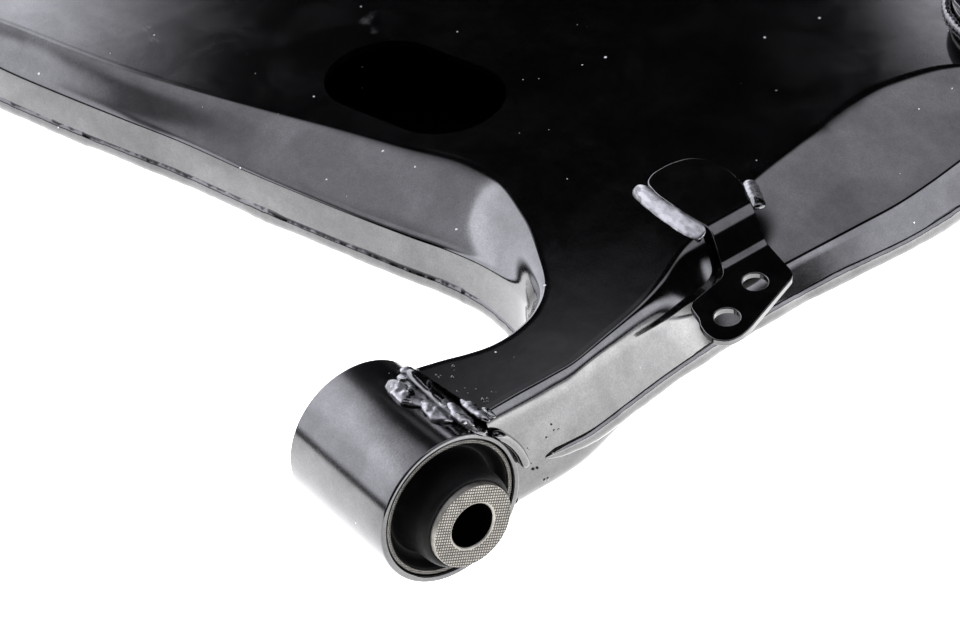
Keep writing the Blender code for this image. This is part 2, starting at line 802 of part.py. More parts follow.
def make_snap_ring():
    """Open spring ring that locks the housing in the carrier."""
    name = "ball_joint_snap_ring"
    section = ((23.0, 29.2), (27.0, 29.2), (27.0, 30.7), (23.0, 30.7))
    add_mesh_object(name, bead_on_arc(section, 20, 340, 24), bare_steel(name), BALL_AXIS)


def make_dust_boot():
    """Bellows between the housing's collar and the stud."""
    name = "dust_boot"
    profile = [
        (24.4, 31.3), (26.6, 31.3), (26.6, 35.2), (29.2, 37.6), (29.6, 40.4), (27.2, 43.4), (20.0, 45.6),
        (12.2, 46.4), (10.6, 47.4), (10.6, 52.0), (8.9, 52.0), (8.9, 46.2), (11.4, 44.9), (19.4, 44.1),
        (25.8, 42.0), (27.8, 39.8), (27.4, 38.2), (24.4, 35.6),
    ]
    add_mesh_object(name, turned(profile), black_rubber(name), BALL_AXIS)
    name = "boot_lower_clip"
    add_mesh_object(name, ring_body(26.9, 28.0, 32.2, 33.9), bare_steel(name), BALL_AXIS)


def make_boot_upper_ring():
    """Wire ring that grips the boot's neck and tilts with the stud."""
    name = "boot_upper_ring"
    ring = ring_body(10.9, 12.0, 48.6 - BALL_CENTRE.z, 50.2 - BALL_CENTRE.z)
    add_mesh_object(name, ring, bare_steel(name), BALL_CENTRE)


def stud_profile():
    """Half outline of the ball stud, measured from the ball's centre."""
    neck_r = 8.5
    start_angle = math.radians(-65)
    end_angle = math.acos(neck_r / BALL_R)
    steps = 7
    profile = [(0, BALL_R * math.sin(start_angle))]
    for step in range(steps + 1):
        angle = start_angle + (end_angle - start_angle) * step / steps
        profile.append((BALL_R * math.cos(angle), BALL_R * math.sin(angle)))
    profile.extend([(neck_r, 44.8), (9.2, 46.2), (9.2, 47.0), (7.6, 64.0), (7.6, 65.0), (7.0, 66.0),
                    (7.0, 83.5), (6.0, 84.5), (0, 84.5)])
    return profile


def make_ball_stud():
    """Ball stud with its taper, threaded end and cross hole."""
    name = "ball_stud"
    piece = add_mesh_object(name, turned(stud_profile()), bare_steel(name), BALL_CENTRE)
    hole = cylinder_cutter("cut_pin_hole", 1.9, -12, 12, BALL_CENTRE + Vector((0, 0, 77.0)), "X")
    return cut(piece, hole)


def make_castle_nut():
    """Hexagon nut with a slotted crown."""
    name = "castle_nut"
    across_corners = 22.0 / math.sqrt(3)
    outline = []
    for step in range(6):
        angle = math.radians(60 * step + 30)
        outline.append((across_corners * math.cos(angle), across_corners * math.sin(angle)))
    shape = prism(outline, 65.6, 80.0)
    nut = add_mesh_object(name, shape, bare_steel(name), BALL_CENTRE)
    cut(nut, cylinder_cutter("cut_nut_bore", 7.9, 60, 85, BALL_CENTRE))
    for step in range(3):
        slot = prism(((-15, -1.9), (15, -1.9), (15, 1.9), (-15, 1.9)), 74.6, 84.0)
        bmesh.ops.rotate(slot, matrix=Matrix.Rotation(math.radians(60 * step), 3, "Z"), verts=slot.verts)
        slot_name = "cut_nut_slot_" + str(step + 1)
        cut(nut, as_cutter(add_mesh_object(slot_name, slot, bare_steel(slot_name), BALL_CENTRE)))
    return nut


def make_cotter_pin():
    """Split pin through the crown of the nut, its legs bent round."""
    name = "cotter_pin"
    pin = turned([(0, -15.5), (2.6, -15.5), (2.9, -14.4), (1.5, -13.2), (1.5, 15.0), (0, 15.0)], 16, "X")
    bmesh.ops.translate(pin, vec=(0, 0, 77.0), verts=pin.verts)
    add_mesh_object(name, pin, bare_steel(name), BALL_CENTRE)


def main():
    """Build the whole arm."""
    clear_scene()
    shared, oval, drains = make_cutters()
    make_upper_shell(shared, oval)
    make_lower_shell(shared, drains)
    make_seam_welds()
    make_front_bush_housing()
    make_front_housing_welds()
    make_front_bush()
    make_rear_bush_housing()
    make_rear_bush()
    make_bracket()
    make_bracket_welds()
    make_carrier()
    make_ball_joint_housing()
    make_ball_joint_seat()
    make_snap_ring()
    make_dust_boot()
    make_boot_upper_ring()
    make_ball_stud()
    make_castle_nut()
    make_cotter_pin()


main()
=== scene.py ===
"""Looks of the front lower control arm: pressed shells, welds, bushes, bracket and ball joint.

Lengths are millimetres from the front bush's centre, with +X along that bush and +Z up,
unless a name or a docstring says metres.
"""

import logging
import math
from collections.abc import Callable
from dataclasses import dataclass
from enum import Enum
from functools import reduce

import bmesh
import bpy
import numpy as np
from mathutils import Matrix, Vector
from mathutils.geometry import delaunay_2d_cdt

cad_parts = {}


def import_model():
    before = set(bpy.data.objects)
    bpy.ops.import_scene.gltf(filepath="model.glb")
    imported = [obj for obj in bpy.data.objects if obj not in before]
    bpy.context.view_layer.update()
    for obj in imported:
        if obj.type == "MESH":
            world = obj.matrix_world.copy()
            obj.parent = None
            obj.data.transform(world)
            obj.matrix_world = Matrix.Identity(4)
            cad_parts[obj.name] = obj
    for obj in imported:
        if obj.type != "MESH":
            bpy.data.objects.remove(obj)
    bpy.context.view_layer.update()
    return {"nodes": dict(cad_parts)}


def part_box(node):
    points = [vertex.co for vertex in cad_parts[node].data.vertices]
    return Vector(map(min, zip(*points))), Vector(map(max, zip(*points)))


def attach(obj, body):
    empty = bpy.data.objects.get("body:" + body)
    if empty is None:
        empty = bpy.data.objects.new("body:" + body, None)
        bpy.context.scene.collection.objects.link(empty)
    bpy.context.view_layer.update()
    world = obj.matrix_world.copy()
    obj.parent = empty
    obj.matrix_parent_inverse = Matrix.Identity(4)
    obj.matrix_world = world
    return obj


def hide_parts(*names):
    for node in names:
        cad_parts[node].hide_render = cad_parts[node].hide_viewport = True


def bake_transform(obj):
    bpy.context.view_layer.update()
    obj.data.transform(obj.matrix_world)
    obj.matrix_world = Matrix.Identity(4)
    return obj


LOG = logging.getLogger("control_arm")
MM = 0.001
UP = np.array([0.0, 0.0, 1.0])

Measure = Callable[[np.ndarray], np.ndarray]
Socket = bpy.types.NodeSocket


class Axis(Enum):
    """Direction in which a turned piece points."""

    ALONG = "x"
    UPRIGHT = "z"


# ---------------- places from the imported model


@dataclass(frozen=True)
class Datum:
    """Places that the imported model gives.

    Attributes:
        shift: the front bush's centre in metres, which is the zero of every millimetre value.
        rear: plan centre of the rear bush in millimetres from that zero.
        ball: plan centre of the ball joint in millimetres from that zero.
    """

    shift: np.ndarray
    rear: np.ndarray
    ball: np.ndarray

    @staticmethod
    def middle(node: str) -> np.ndarray:
        """Middle of a node's box, in metres."""
        low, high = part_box(node)
        return (np.array(low) + np.array(high)) / 2

    @classmethod
    def read(cls) -> "Datum":
        """Work the places out from the boxes of three nodes.

        Returns:
            The datum of the whole arm.
        """
        front = cls.middle("front_bush_inner_sleeve")
        rear = (cls.middle("rear_bush_housing") - front) / MM
        ball = (cls.middle("ball_joint_carrier") - front) / MM
        return cls(front, np.array([rear[0], rear[1], 0.0]), np.array([ball[0], ball[1], 0.0]))


# ---------------- mesh mathematics


def smooth_step(t: np.ndarray) -> np.ndarray:
    """Ease 3t^2 - 2t^3 from 0 to 1 with level ends."""
    t = np.clip(t, 0.0, 1.0)
    return t * t * (3 - 2 * t)


def value_noise(points: np.ndarray, cell: float, seed: int) -> np.ndarray:
    """Smooth noise from -1 to 1: hashed values at the corners of cubes, eased between them.

    Args:
        points: places, with the three coordinates in the last axis.
        cell: side of the cubes, in the unit of the points.
        seed: number of the pattern.

    Returns:
        One value for each place.
    """
    grid = points / cell
    base = np.floor(grid).astype(np.int64)
    ease = smooth_step(grid - base)
    total = np.zeros(points.shape[:-1])
    for corner in np.ndindex(2, 2, 2):
        key = ((base + np.array(corner)) * np.array([73856093, 19349663, 83492791])).sum(-1)
        key = (key + seed * 2654435761) & 0x7FFFFFFF
        key = ((key ^ (key >> 13)) * 1274126177) & 0x7FFFFFFF
        key = ((key ^ (key >> 15)) * 2246822519) & 0x7FFFFFFF
        share = np.prod(np.where(np.array(corner) == 1, ease, 1 - ease), axis=-1)
        total += share * (key / 0x3FFFFFFF - 1)
    return total


def catmull_rom(stations: np.ndarray, per_span: int) -> np.ndarray:
    """Cubic curve through the stations, in all their values at once.

    Between stations b and c, with neighbours a and d, the curve is
    (2b + (c-a)t + (2a-5b+4c-d)t^2 + (3b-a-3c+d)t^3) / 2.

    Args:
        stations: one row for each station.
        per_span: points made in each span.

    Returns:
        The points, one row each.
    """
    padded = np.vstack([stations[:1], stations, stations[-1:]])
    spans = len(stations) - 1
    place = np.linspace(0, spans, spans * per_span + 1)
    index = np.minimum(place.astype(int), spans - 1)
    t = (place - index)[:, None]
    a, b, c, d = (padded[index + k] for k in range(4))
    return 0.5 * (2 * b + (c - a) * t + (2 * a - 5 * b + 4 * c - d) * t**2 + (3 * b - a - 3 * c + d) * t**3)


def rounded(points: np.ndarray, radius: float | np.ndarray, steps: int = 5,
            closed: bool = True) -> np.ndarray:
    """Round each corner of a polyline with a quadratic curve.

    Each corner p is cut back by the radius, or by 45% of the shorter side, and the curve
    is (1-t)^2 before + 2t(1-t) p + t^2 after.

    Args:
        points: corners, one row each.
        radius: how far back from a corner its curve starts, one value or a column of them.
        steps: spans in one curve.
        closed: whether the last corner joins the first.

    Returns:
        The rounded line.
    """
    before = np.roll(points, 1, axis=0)
    after = np.roll(points, -1, axis=0)
    back = np.linalg.norm(before - points, axis=1, keepdims=True)
    ahead = np.linalg.norm(after - points, axis=1, keepdims=True)
    reach = np.minimum(radius, 0.45 * np.minimum(back, ahead))
    start = points + (before - points) / back * reach
    end = points + (after - points) / ahead * reach
    t = np.linspace(0, 1, steps + 1)[None, :, None]
    arcs = start[:, None] * (1 - t) ** 2 + points[:, None] * 2 * t * (1 - t) + end[:, None] * t**2
    if closed:
        return arcs.reshape(-1, points.shape[1])
    inner = arcs[1:-1].reshape(-1, points.shape[1])
    return np.vstack([points[:1], inner, points[-1:]])


def inside(places: np.ndarray, outline: np.ndarray) -> np.ndarray:
    """Even-odd test: a place is inside where a ray along +X crosses the outline an odd number of times.

    Args:
        places: plan points, one row each.
        outline: closed plan outline, one row each.

    Returns:
        True for each place inside.
    """
    x, y = places[:, :1], places[:, 1:2]
    x1, y1 = outline[:, 0], outline[:, 1]
    x2, y2 = np.roll(x1, -1), np.roll(y1, -1)
    crosses = (y1 > y) != (y2 > y)
    rise = np.where(y2 == y1, 1e-12, y2 - y1)
    return (crosses & (x < x1 + (y - y1) * (x2 - x1) / rise)).sum(axis=1) % 2 == 1


def plate(outline: np.ndarray, holes: list[np.ndarray], spacing: float) -> tuple[np.ndarray, np.ndarray]:
    """Triangles that fill an outline around its holes.

    A constrained Delaunay triangulation takes the outline, the holes and a square lattice
    of points inside; triangles whose middle is outside or in a hole are dropped.

    Args:
        outline: closed plan outline.
        holes: closed plan outlines of the openings.
        spacing: side of the lattice.

    Returns:
        The plan points and the triangles.
    """
    loops = [outline, *holes]
    edge_points = np.vstack(loops)
    low, high = outline.min(axis=0), outline.max(axis=0)
    x, y = np.meshgrid(*(np.arange(low[k], high[k], spacing) for k in (0, 1)))
    lattice = np.column_stack([x.ravel(), y.ravel()])
    keep = inside(lattice, outline)
    for hole in holes:
        keep &= ~inside(lattice, hole)
    lattice = lattice[keep]
    gap = np.linalg.norm(lattice[:, None] - edge_points[None], axis=2).min(axis=1)
    lattice = lattice[gap > 0.6 * spacing]
    edges = []
    first = 0
    for loop in loops:
        numbers = first + np.arange(len(loop))
        edges.append(np.stack([numbers, np.roll(numbers, -1)], axis=1))
        first += len(loop)
    places = [Vector(place) for place in np.vstack([edge_points, lattice]).tolist()]
    made = delaunay_2d_cdt(places, np.vstack(edges).tolist(), [], 0, 1e-6, False)
    points = np.array([tuple(place) for place in made[0]])
    faces = np.array(made[2])
    centres = points[faces].mean(axis=1)
    keep = inside(centres, outline)
    for hole in holes:
        keep &= ~inside(centres, hole)
    return points, faces[keep]


def around(angle: np.ndarray) -> np.ndarray:
    """Level unit vectors (cos a, sin a, 0), one row for each angle."""
    return np.column_stack([np.cos(angle), np.sin(angle), np.zeros(len(angle))])


def circle(centre: tuple, radius: float, count: int) -> np.ndarray:
    """Plan points centre + radius (cos a, sin a)."""
    angle = np.linspace(0, 2 * np.pi, count, endpoint=False)
    return np.array(centre)[:2] + radius * around(angle)[:, :2]


def hoop(inner: float, outer: float, low: float, high: float) -> np.ndarray:
    """Section of a plain ring: its four corners as radius and height."""
    return np.array([(inner, low), (outer, low), (outer, high), (inner, high)], float)


def chamfered(bore: float, outer: float, low: float, high: float, cut: float = 0.7) -> np.ndarray:
    """Section of a sleeve: a ring whose bore widens by the cut at both ends."""
    return np.array([(bore, low + cut), (bore + cut, low), (outer, low), (outer, high),
                     (bore + cut, high), (bore, high - cut)])


def unit_ball(rows: int, columns: int) -> np.ndarray:
    """Grid of (sin p cos t, sin p sin t, cos p) with p from 0 to pi and t round the circle."""
    polar = np.linspace(0, np.pi, rows)[:, None]
    turn = np.linspace(0, 2 * np.pi, columns, endpoint=False)[None]
    level = np.broadcast_to(np.cos(polar), (rows, columns))
    return np.stack([np.sin(polar) * np.cos(turn), np.sin(polar) * np.sin(turn), level], axis=-1)


# ---------------- surfaces to objects


class Surface:
    """Points and faces gathered in millimetres, made into an object in metres at the end."""

    def __init__(self) -> None:
        """Start empty."""
        self.points: list[np.ndarray] = []
        self.faces: list[np.ndarray] = []
        self.count = 0

    def add(self, points: np.ndarray, faces: np.ndarray) -> "Surface":
        """Add points and the faces that number them from zero."""
        self.points.append(points)
        self.faces.append(faces + self.count)
        self.count += len(points)
        return self

    def add_grid(self, grid: np.ndarray, wrap_rows: bool = False, wrap_columns: bool = False) -> "Surface":
        """Add a grid of points as quads.

        Args:
            grid: points in rows and columns, with three coordinates each.
            wrap_rows: whether the last row joins the first.
            wrap_columns: whether the last column joins the first.

        Returns:
            This surface.
        """
        rows, columns = grid.shape[:2]
        numbers = np.arange(rows * columns).reshape(rows, columns)
        if wrap_rows:
            numbers = np.vstack([numbers, numbers[:1]])
        if wrap_columns:
            numbers = np.hstack([numbers, numbers[:, :1]])
        quads = np.stack([numbers[:-1, :-1], numbers[1:, :-1], numbers[1:, 1:], numbers[:-1, 1:]], axis=-1)
        return self.add(grid.reshape(-1, 3), quads.reshape(-1, 4))

    def trimmed(self, distance: Measure, limit: float, push: Measure) -> "Surface":
        """Take away what lies inside a round body and draw the new edge onto it.

        Faces with every corner inside go. Corners left inside move out to the body.

        Args:
            distance: gives the distance of points from the body's axis.
            limit: radius of the body.
            push: moves points straight out from the axis to the limit.

        Returns:
            This surface.
        """
        points = np.vstack(self.points)
        within = distance(points) < limit
        self.faces = [faces[~within[faces].all(axis=1)] for faces in self.faces]
        points[within] = push(points[within])
        self.points = [points]
        return self

    def to_object(self, name: str, shift: np.ndarray, smooth_angle: float = 35.0) -> bpy.types.Object:
        """Make the object, with doubles merged and faces turned outwards.

        Args:
            name: name of the object.
            shift: metres that the zero of the points lies from the frame's origin.
            smooth_angle: edges sharper than this many degrees stay sharp.

        Returns:
            The new object.
        """
        points = np.vstack(self.points) * MM + shift
        faces = [face for group in self.faces for face in group.tolist()]
        mesh = bpy.data.meshes.new(name)
        mesh.from_pydata(points.tolist(), [], faces)
        work = bmesh.new()
        work.from_mesh(mesh)
        bmesh.ops.remove_doubles(work, verts=work.verts, dist=2e-6)
        bmesh.ops.dissolve_degenerate(work, edges=work.edges, dist=1e-6)
        loose = [vertex for vertex in work.verts if not vertex.link_faces]
        bmesh.ops.delete(work, geom=loose, context="VERTS")
        bmesh.ops.recalc_face_normals(work, faces=work.faces)
        work.to_mesh(mesh)
        work.free()
        mesh.shade_smooth()
        mesh.set_sharp_from_angle(angle=math.radians(smooth_angle))
        piece = bpy.data.objects.new(name, mesh)
        bpy.context.scene.collection.objects.link(piece)
        return piece


def face_towards(piece: bpy.types.Object, direction: float) -> bpy.types.Object:
    """Turn an open skin so that the area-weighted sum of its normals has the sign of direction in Z."""
    mesh = piece.data
    area = np.empty(len(mesh.polygons))
    normal = np.empty(len(mesh.polygons) * 3)
    mesh.polygons.foreach_get("area", area)
    mesh.polygons.foreach_get("normal", normal)
    if (normal.reshape(-1, 3)[:, 2] * area).sum() * direction < 0:
        mesh.flip_normals()
    return piece


def thicken(piece: bpy.types.Object, sheet: float) -> bpy.types.Object:
    """Give a skin its sheet thickness on the side away from its normals."""
    modifier = piece.modifiers.new("sheet", "SOLIDIFY")
    modifier.thickness = sheet * MM
    modifier.offset = -1.0
    modifier.use_even_offset = True
    return piece


def soften(piece: bpy.types.Object, width: float, angle: float = 40.0, segments: int = 2) -> bpy.types.Object:
    """Round the edges sharper than an angle in degrees."""
    modifier = piece.modifiers.new("soft_edge", "BEVEL")
    modifier.width = width * MM
    modifier.segments = segments
    modifier.limit_method = "ANGLE"
    modifier.angle_limit = math.radians(angle)
    modifier.harden_normals = True
    return piece


def turned(profile: np.ndarray, centre: np.ndarray, axis: Axis = Axis.UPRIGHT, steps: int = 128) -> Surface:
    """Surface of revolution: (r, h) of the closed profile carried round the axis by the angle a.

    An upright point is (r cos a, r sin a, h), and one along the bush is (h, r cos a, r sin a).

    Args:
        profile: closed outline of radius and height.
        centre: where the axis stands.
        axis: direction of the axis.
        steps: points round the circle.

    Returns:
        The closed surface.
    """
    angle = np.linspace(0, 2 * np.pi, steps, endpoint=False)[:, None]
    radius, height = profile[None, :, 0], profile[None, :, 1]
    across, up = radius * np.cos(angle), radius * np.sin(angle)
    level = np.broadcast_to(height, across.shape)
    parts = (across, up, level) if axis is Axis.UPRIGHT else (level, across, up)
    grid = np.stack(parts, axis=-1) + np.array(centre)
    return Surface().add_grid(grid, wrap_rows=True, wrap_columns=True)


def bead(path: np.ndarray, across: np.ndarray | tuple, up: np.ndarray | tuple, width: np.ndarray | float,
         height: np.ndarray | float, lump: float, seed: int, ripple: float = 0.0, pitch: float = 2.4,
         sides: int = 14, cell: float = 2.6) -> Surface:
    """Weld bead: an ellipse of varying size carried along a path, with ripples and lumps.

    A point is path + w cos(b) across + h sin(b) up, with w and h scaled by
    (1 - |2s-1|^8)^(1/2) towards both ends, by 1 + ripple sin(2 pi length/pitch) along the path,
    and by 1 + lump times noise at the point.

    Args:
        path: middle line, one row each.
        across: unit vector across the bead, one for all or one for each row.
        up: unit vector out of the work, likewise.
        width: half width, one for all or one for each row.
        height: half height, likewise.
        lump: share that the noise adds.
        seed: number of the noise pattern.
        ripple: share that the ripples add.
        pitch: length of one ripple.
        sides: points round the ellipse.
        cell: size of the noise's cells.

    Returns:
        The closed surface.
    """
    across, up = (np.broadcast_to(vector, path.shape) for vector in (across, up))
    share = np.linspace(-1, 1, len(path))
    ends = np.sqrt(np.clip(1 - np.abs(share) ** 8, 0, 1))
    step = np.linalg.norm(np.diff(path, axis=0, prepend=path[:1]), axis=1)
    length = np.cumsum(step)
    beat = ends * (1 + ripple * np.sin(2 * np.pi * length / pitch))
    angle = np.linspace(0, 2 * np.pi, sides, endpoint=False)
    side = (width * beat)[:, None, None] * np.cos(angle)[None, :, None] * across[:, None]
    out = (height * beat)[:, None, None] * np.sin(angle)[None, :, None] * up[:, None]
    offset = side + out
    place = path[:, None] + offset
    rough = value_noise(place, cell, seed) + 0.35 * value_noise(place, 0.4 * cell, seed + 1)
    return Surface().add_grid(path[:, None] + offset * (1 + lump * rough)[..., None], wrap_columns=True)


def rim_bead(centre: np.ndarray, radius: float, level: float, angle: np.ndarray, side: float,
             size: tuple[float, float, float], lump: float, seed: int, ripple: float) -> Surface:
    """Bead laid round an upright ring.

    Args:
        centre: plan centre of the ring.
        radius: distance of the bead's middle from it.
        level: height of the bead's middle.
        angle: angles that the bead passes, in radians.
        side: 1 where the bead bulges upwards, -1 downwards.
        size: mean half width, how much noise adds to it, and the share that the height is of it.
        lump: share that the surface noise adds.
        seed: number of the noise pattern.
        ripple: share that the ripples add.

    Returns:
        The closed surface.
    """
    outward = around(angle)
    path = centre + outward * radius + UP * level
    width = size[0] + size[1] * value_noise(path, 6.0, seed)
    return bead(path, outward, UP * side, width, width * size[2], lump, seed, ripple)


def droplets(places: np.ndarray, radii: np.ndarray, seed: int) -> Surface:
    """Round spatter: each drop is its place plus its radius times a lumpy unit sphere.

    Args:
        places: middles of the drops.
        radii: their radii.
        seed: number of the noise pattern.

    Returns:
        All the drops as one surface.
    """
    ball = unit_ball(6, 8)
    surface = Surface()
    for place, radius in zip(places, radii):
        grid = place + radius * ball
        rough = 1 + 0.25 * value_noise(grid, radius * 1.3, seed)[..., None]
        surface.add_grid(place + radius * ball * rough, wrap_columns=True)
    return surface


# ---------------- finishes


class Nodes:
    """Adds and links the shader nodes of one material."""

    def __init__(self, name: str) -> None:
        """Start a Principled material with its object coordinates."""
        self.material = bpy.data.materials.new(name)
        self.material.use_nodes = True
        self.tree = self.material.node_tree
        self.shader = self.tree.nodes["Principled BSDF"]
        self.coordinates = self.tree.nodes.new("ShaderNodeTexCoord")
        self.place = self.coordinates.outputs["Object"]

    @classmethod
    def of_tree(cls, tree: bpy.types.NodeTree) -> "Nodes":
        """Helper for a room's tree, with the direction looked in."""
        made = cls.__new__(cls)
        made.tree = tree
        made.direction = tree.nodes.new("ShaderNodeTexCoord").outputs["Generated"]
        return made

    def set(self, **values: float | tuple) -> None:
        """Set constants on the shader's own sockets, with _ for a space."""
        for name, value in values.items():
            self.shader.inputs[name.replace("_", " ")].default_value = value

    def feed(self, socket: str, source: Socket) -> None:
        """Link a source into the shader."""
        self.tree.links.new(source, self.shader.inputs[socket])

    def put(self, socket: Socket, value: "Socket | float | tuple") -> None:
        """Link or set one input."""
        if isinstance(value, Socket):
            self.tree.links.new(value, socket)
        else:
            socket.default_value = value

    def math(self, operation: str, a: object, b: object = 0.0) -> Socket:
        """Combine two values."""
        node = self.tree.nodes.new("ShaderNodeMath")
        node.operation = operation
        self.put(node.inputs[0], a)
        self.put(node.inputs[1], b)
        return node.outputs[0]

    def plus(self, *values: object) -> Socket:
        """Sum of the values."""
        return reduce(lambda total, value: self.math("ADD", total, value), values)

    def times(self, *values: object) -> Socket:
        """Product of the values."""
        return reduce(lambda total, value: self.math("MULTIPLY", total, value), values)

    def length(self, first: Socket, second: Socket) -> Socket:
        """Square root of the sum of two squares."""
        return self.math("SQRT", self.plus(self.times(first, first), self.times(second, second)))

    def mapped(self, move: tuple = (0, 0, 0), turn: tuple = (0, 0, 0), scale: tuple = (1, 1, 1)) -> Socket:
        """Object coordinates moved, turned and scaled."""
        node = self.tree.nodes.new("ShaderNodeMapping")
        self.put(node.inputs["Vector"], self.place)
        node.inputs["Location"].default_value = move
        node.inputs["Rotation"].default_value = turn
        node.inputs["Scale"].default_value = scale
        return node.outputs[0]

    def noise(self, per_metre: float, detail: float = 3.0, rough: float = 0.55, vector: object = None,
              distortion: float = 0.0) -> Socket:
        """Noise value from 0 to 1."""
        node = self.tree.nodes.new("ShaderNodeTexNoise")
        self.put(node.inputs["Vector"], self.place if vector is None else vector)
        node.inputs["Scale"].default_value = per_metre
        node.inputs["Detail"].default_value = detail
        node.inputs["Roughness"].default_value = rough
        node.inputs["Distortion"].default_value = distortion
        return node.outputs[0]

    def cells(self, per_metre: float) -> Socket:
        """Distance from the nearest of scattered points."""
        node = self.tree.nodes.new("ShaderNodeTexVoronoi")
        self.put(node.inputs["Vector"], self.place)
        node.inputs["Scale"].default_value = per_metre
        return node.outputs["Distance"]

    def span(self, value: object, low: float, high: float, to_low: float = 0.0,
             to_high: float = 1.0) -> Socket:
        """Map a value from one range to another with eased, clamped ends."""
        node = self.tree.nodes.new("ShaderNodeMapRange")
        node.interpolation_type = "SMOOTHSTEP"
        self.put(node.inputs["Value"], value)
        node.inputs["From Min"].default_value = low
        node.inputs["From Max"].default_value = high
        node.inputs["To Min"].default_value = to_low
        node.inputs["To Max"].default_value = to_high
        return node.outputs[0]

    def blend(self, share: object, first: object, second: object) -> Socket:
        """Mix two colours."""
        node = self.tree.nodes.new("ShaderNodeMix")
        node.data_type = "RGBA"
        self.put(node.inputs[0], share)
        for socket, value in zip((node.inputs[6], node.inputs[7]), (first, second)):
            self.put(socket, (*value, 1.0) if isinstance(value, tuple) else value)
        return node.outputs[2]

    def bump(self, height: object, depth: float, below: object = None) -> Socket:
        """Bump of a depth in millimetres, on top of another one if given."""
        node = self.tree.nodes.new("ShaderNodeBump")
        node.inputs["Strength"].default_value = 1.0
        node.inputs["Distance"].default_value = depth * MM
        self.put(node.inputs["Height"], height)
        if below is not None:
            self.put(node.inputs["Normal"], below)
        return node.outputs[0]

    def split(self, vector: object) -> list[Socket]:
        """The three coordinates of a vector."""
        node = self.tree.nodes.new("ShaderNodeSeparateXYZ")
        self.put(node.inputs[0], vector)
        return list(node.outputs)


@dataclass(frozen=True)
class BlackCoat:
    """Glossy black dip coat over rolled steel, with fine grain, dust specks and rubbed marks.

    Attributes:
        name: name of the material.
        grain: depth of the fine grain in millimetres.
        shine: lowest roughness.
        dust: share of specks, from 0 to 1.
    """

    name: str
    grain: float = 0.0014
    shine: float = 0.05
    dust: float = 0.5

    def material(self) -> bpy.types.Material:
        """Build the material.

        Returns:
            The material.
        """
        n = Nodes(self.name)
        n.set(Metallic=0.0, IOR=1.9)
        grain = n.noise(1700, 4, 0.6)
        cloud = n.noise(48, 4, 0.6, distortion=0.6)
        patch = n.noise(260, 4, 0.65)
        streak = n.noise(1, 3, 0.6, n.mapped((0, 0, 0), (0.2, 0.4, 0.9), (45, 2400, 45)))
        line = n.math("ABSOLUTE", n.math("SUBTRACT", streak, 0.5))
        scratch = n.times(n.span(line, 0.0, 0.006, 1, 0), n.span(n.noise(38, 2), 0.68, 0.74))
        spot_size = n.span(n.noise(400, 1), 0.45, 0.8, 0.02, 0.07 + 0.05 * self.dust)
        speck = n.math("LESS_THAN", n.cells(150), spot_size)
        rare = n.math("LESS_THAN", n.noise(95, 1), 0.47 + 0.1 * self.dust)
        dust = n.times(speck, rare)
        tone = n.blend(n.span(patch, 0.3, 0.7), (0.0005, 0.0005, 0.0006), (0.0013, 0.0013, 0.0014))
        tone = n.blend(n.times(scratch, 0.3), tone, (0.16, 0.16, 0.165))
        n.feed("Base Color", n.blend(n.times(dust, 0.9), tone, (0.8, 0.8, 0.78)))
        n.feed("Roughness", n.plus(n.span(cloud, 0.3, 0.75, self.shine, self.shine + 0.04),
                                   n.span(grain, 0.25, 0.75, 0.0, 0.035), n.times(scratch, 0.2),
                                   n.times(dust, 0.4)))
        smear = n.noise(1, 2, 0.5, n.mapped((0, 0, 0), (0.1, 0.2, 0.7), (15, 38, 30)), 0.9)
        wiped = n.noise(21, 1, 0.4, distortion=1.1)
        haze = (n.span(patch, 0.25, 0.75, 0.9, 1.06), n.span(grain, 0.25, 0.75, 0.84, 1.1),
                n.span(smear, 0.35, 0.6, 0.86, 1.06), n.span(wiped, 0.47, 0.58, 0.88, 1.05))
        n.feed("Specular Tint", n.times(*haze))
        relief = None
        for height, depth in ((grain, self.grain), (patch, self.grain), (cloud, self.grain * 4),
                              (scratch, -0.012), (dust, 0.05)):
            relief = n.bump(height, depth, relief)
        n.feed("Normal", relief)
        return n.material


@dataclass(frozen=True)
class WeldCoat:
    """Coated weld metal: rippled, with glassy scale flakes that catch the light.

    Attributes:
        name: name of the material.
        flakes: how much silver shows, from 0 to 1.
        bare: noise level above which silver begins, so a lower one shows more.
        stretch: how the pattern is scaled along X; below 1 it runs in streaks.
    """

    name: str
    flakes: float = 0.35
    bare: float = 0.47
    stretch: float = 1.0

    def material(self) -> bpy.types.Material:
        """Build the material.

        Returns:
            The material.
        """
        n = Nodes(self.name)
        n.set(IOR=1.9)
        run = n.mapped(scale=(self.stretch, 1, 1))
        lumps = n.noise(620, 3, 0.55, run)
        folds = n.noise(190, 2, 0.45, run, 0.8)
        islands = n.noise(110, 3, 0.55, run, 0.7)
        silver = n.times(n.span(islands, self.bare, self.bare + 0.03), self.flakes, n.span(folds, 0.33, 0.39))
        grey = n.blend(n.span(lumps, 0.35, 0.65), (0.2, 0.2, 0.208), (0.36, 0.36, 0.37))
        n.feed("Base Color", n.blend(silver, (0.0015, 0.0015, 0.0017), grey))
        rough = n.span(lumps, 0.3, 0.7, 0.08, 0.16)
        n.feed("Roughness", n.plus(rough, n.times(silver, 0.22)))
        n.feed("Metallic", silver)
        relief = n.bump(folds, 0.06)
        n.feed("Normal", n.bump(lumps, 0.008, relief))
        return n.material


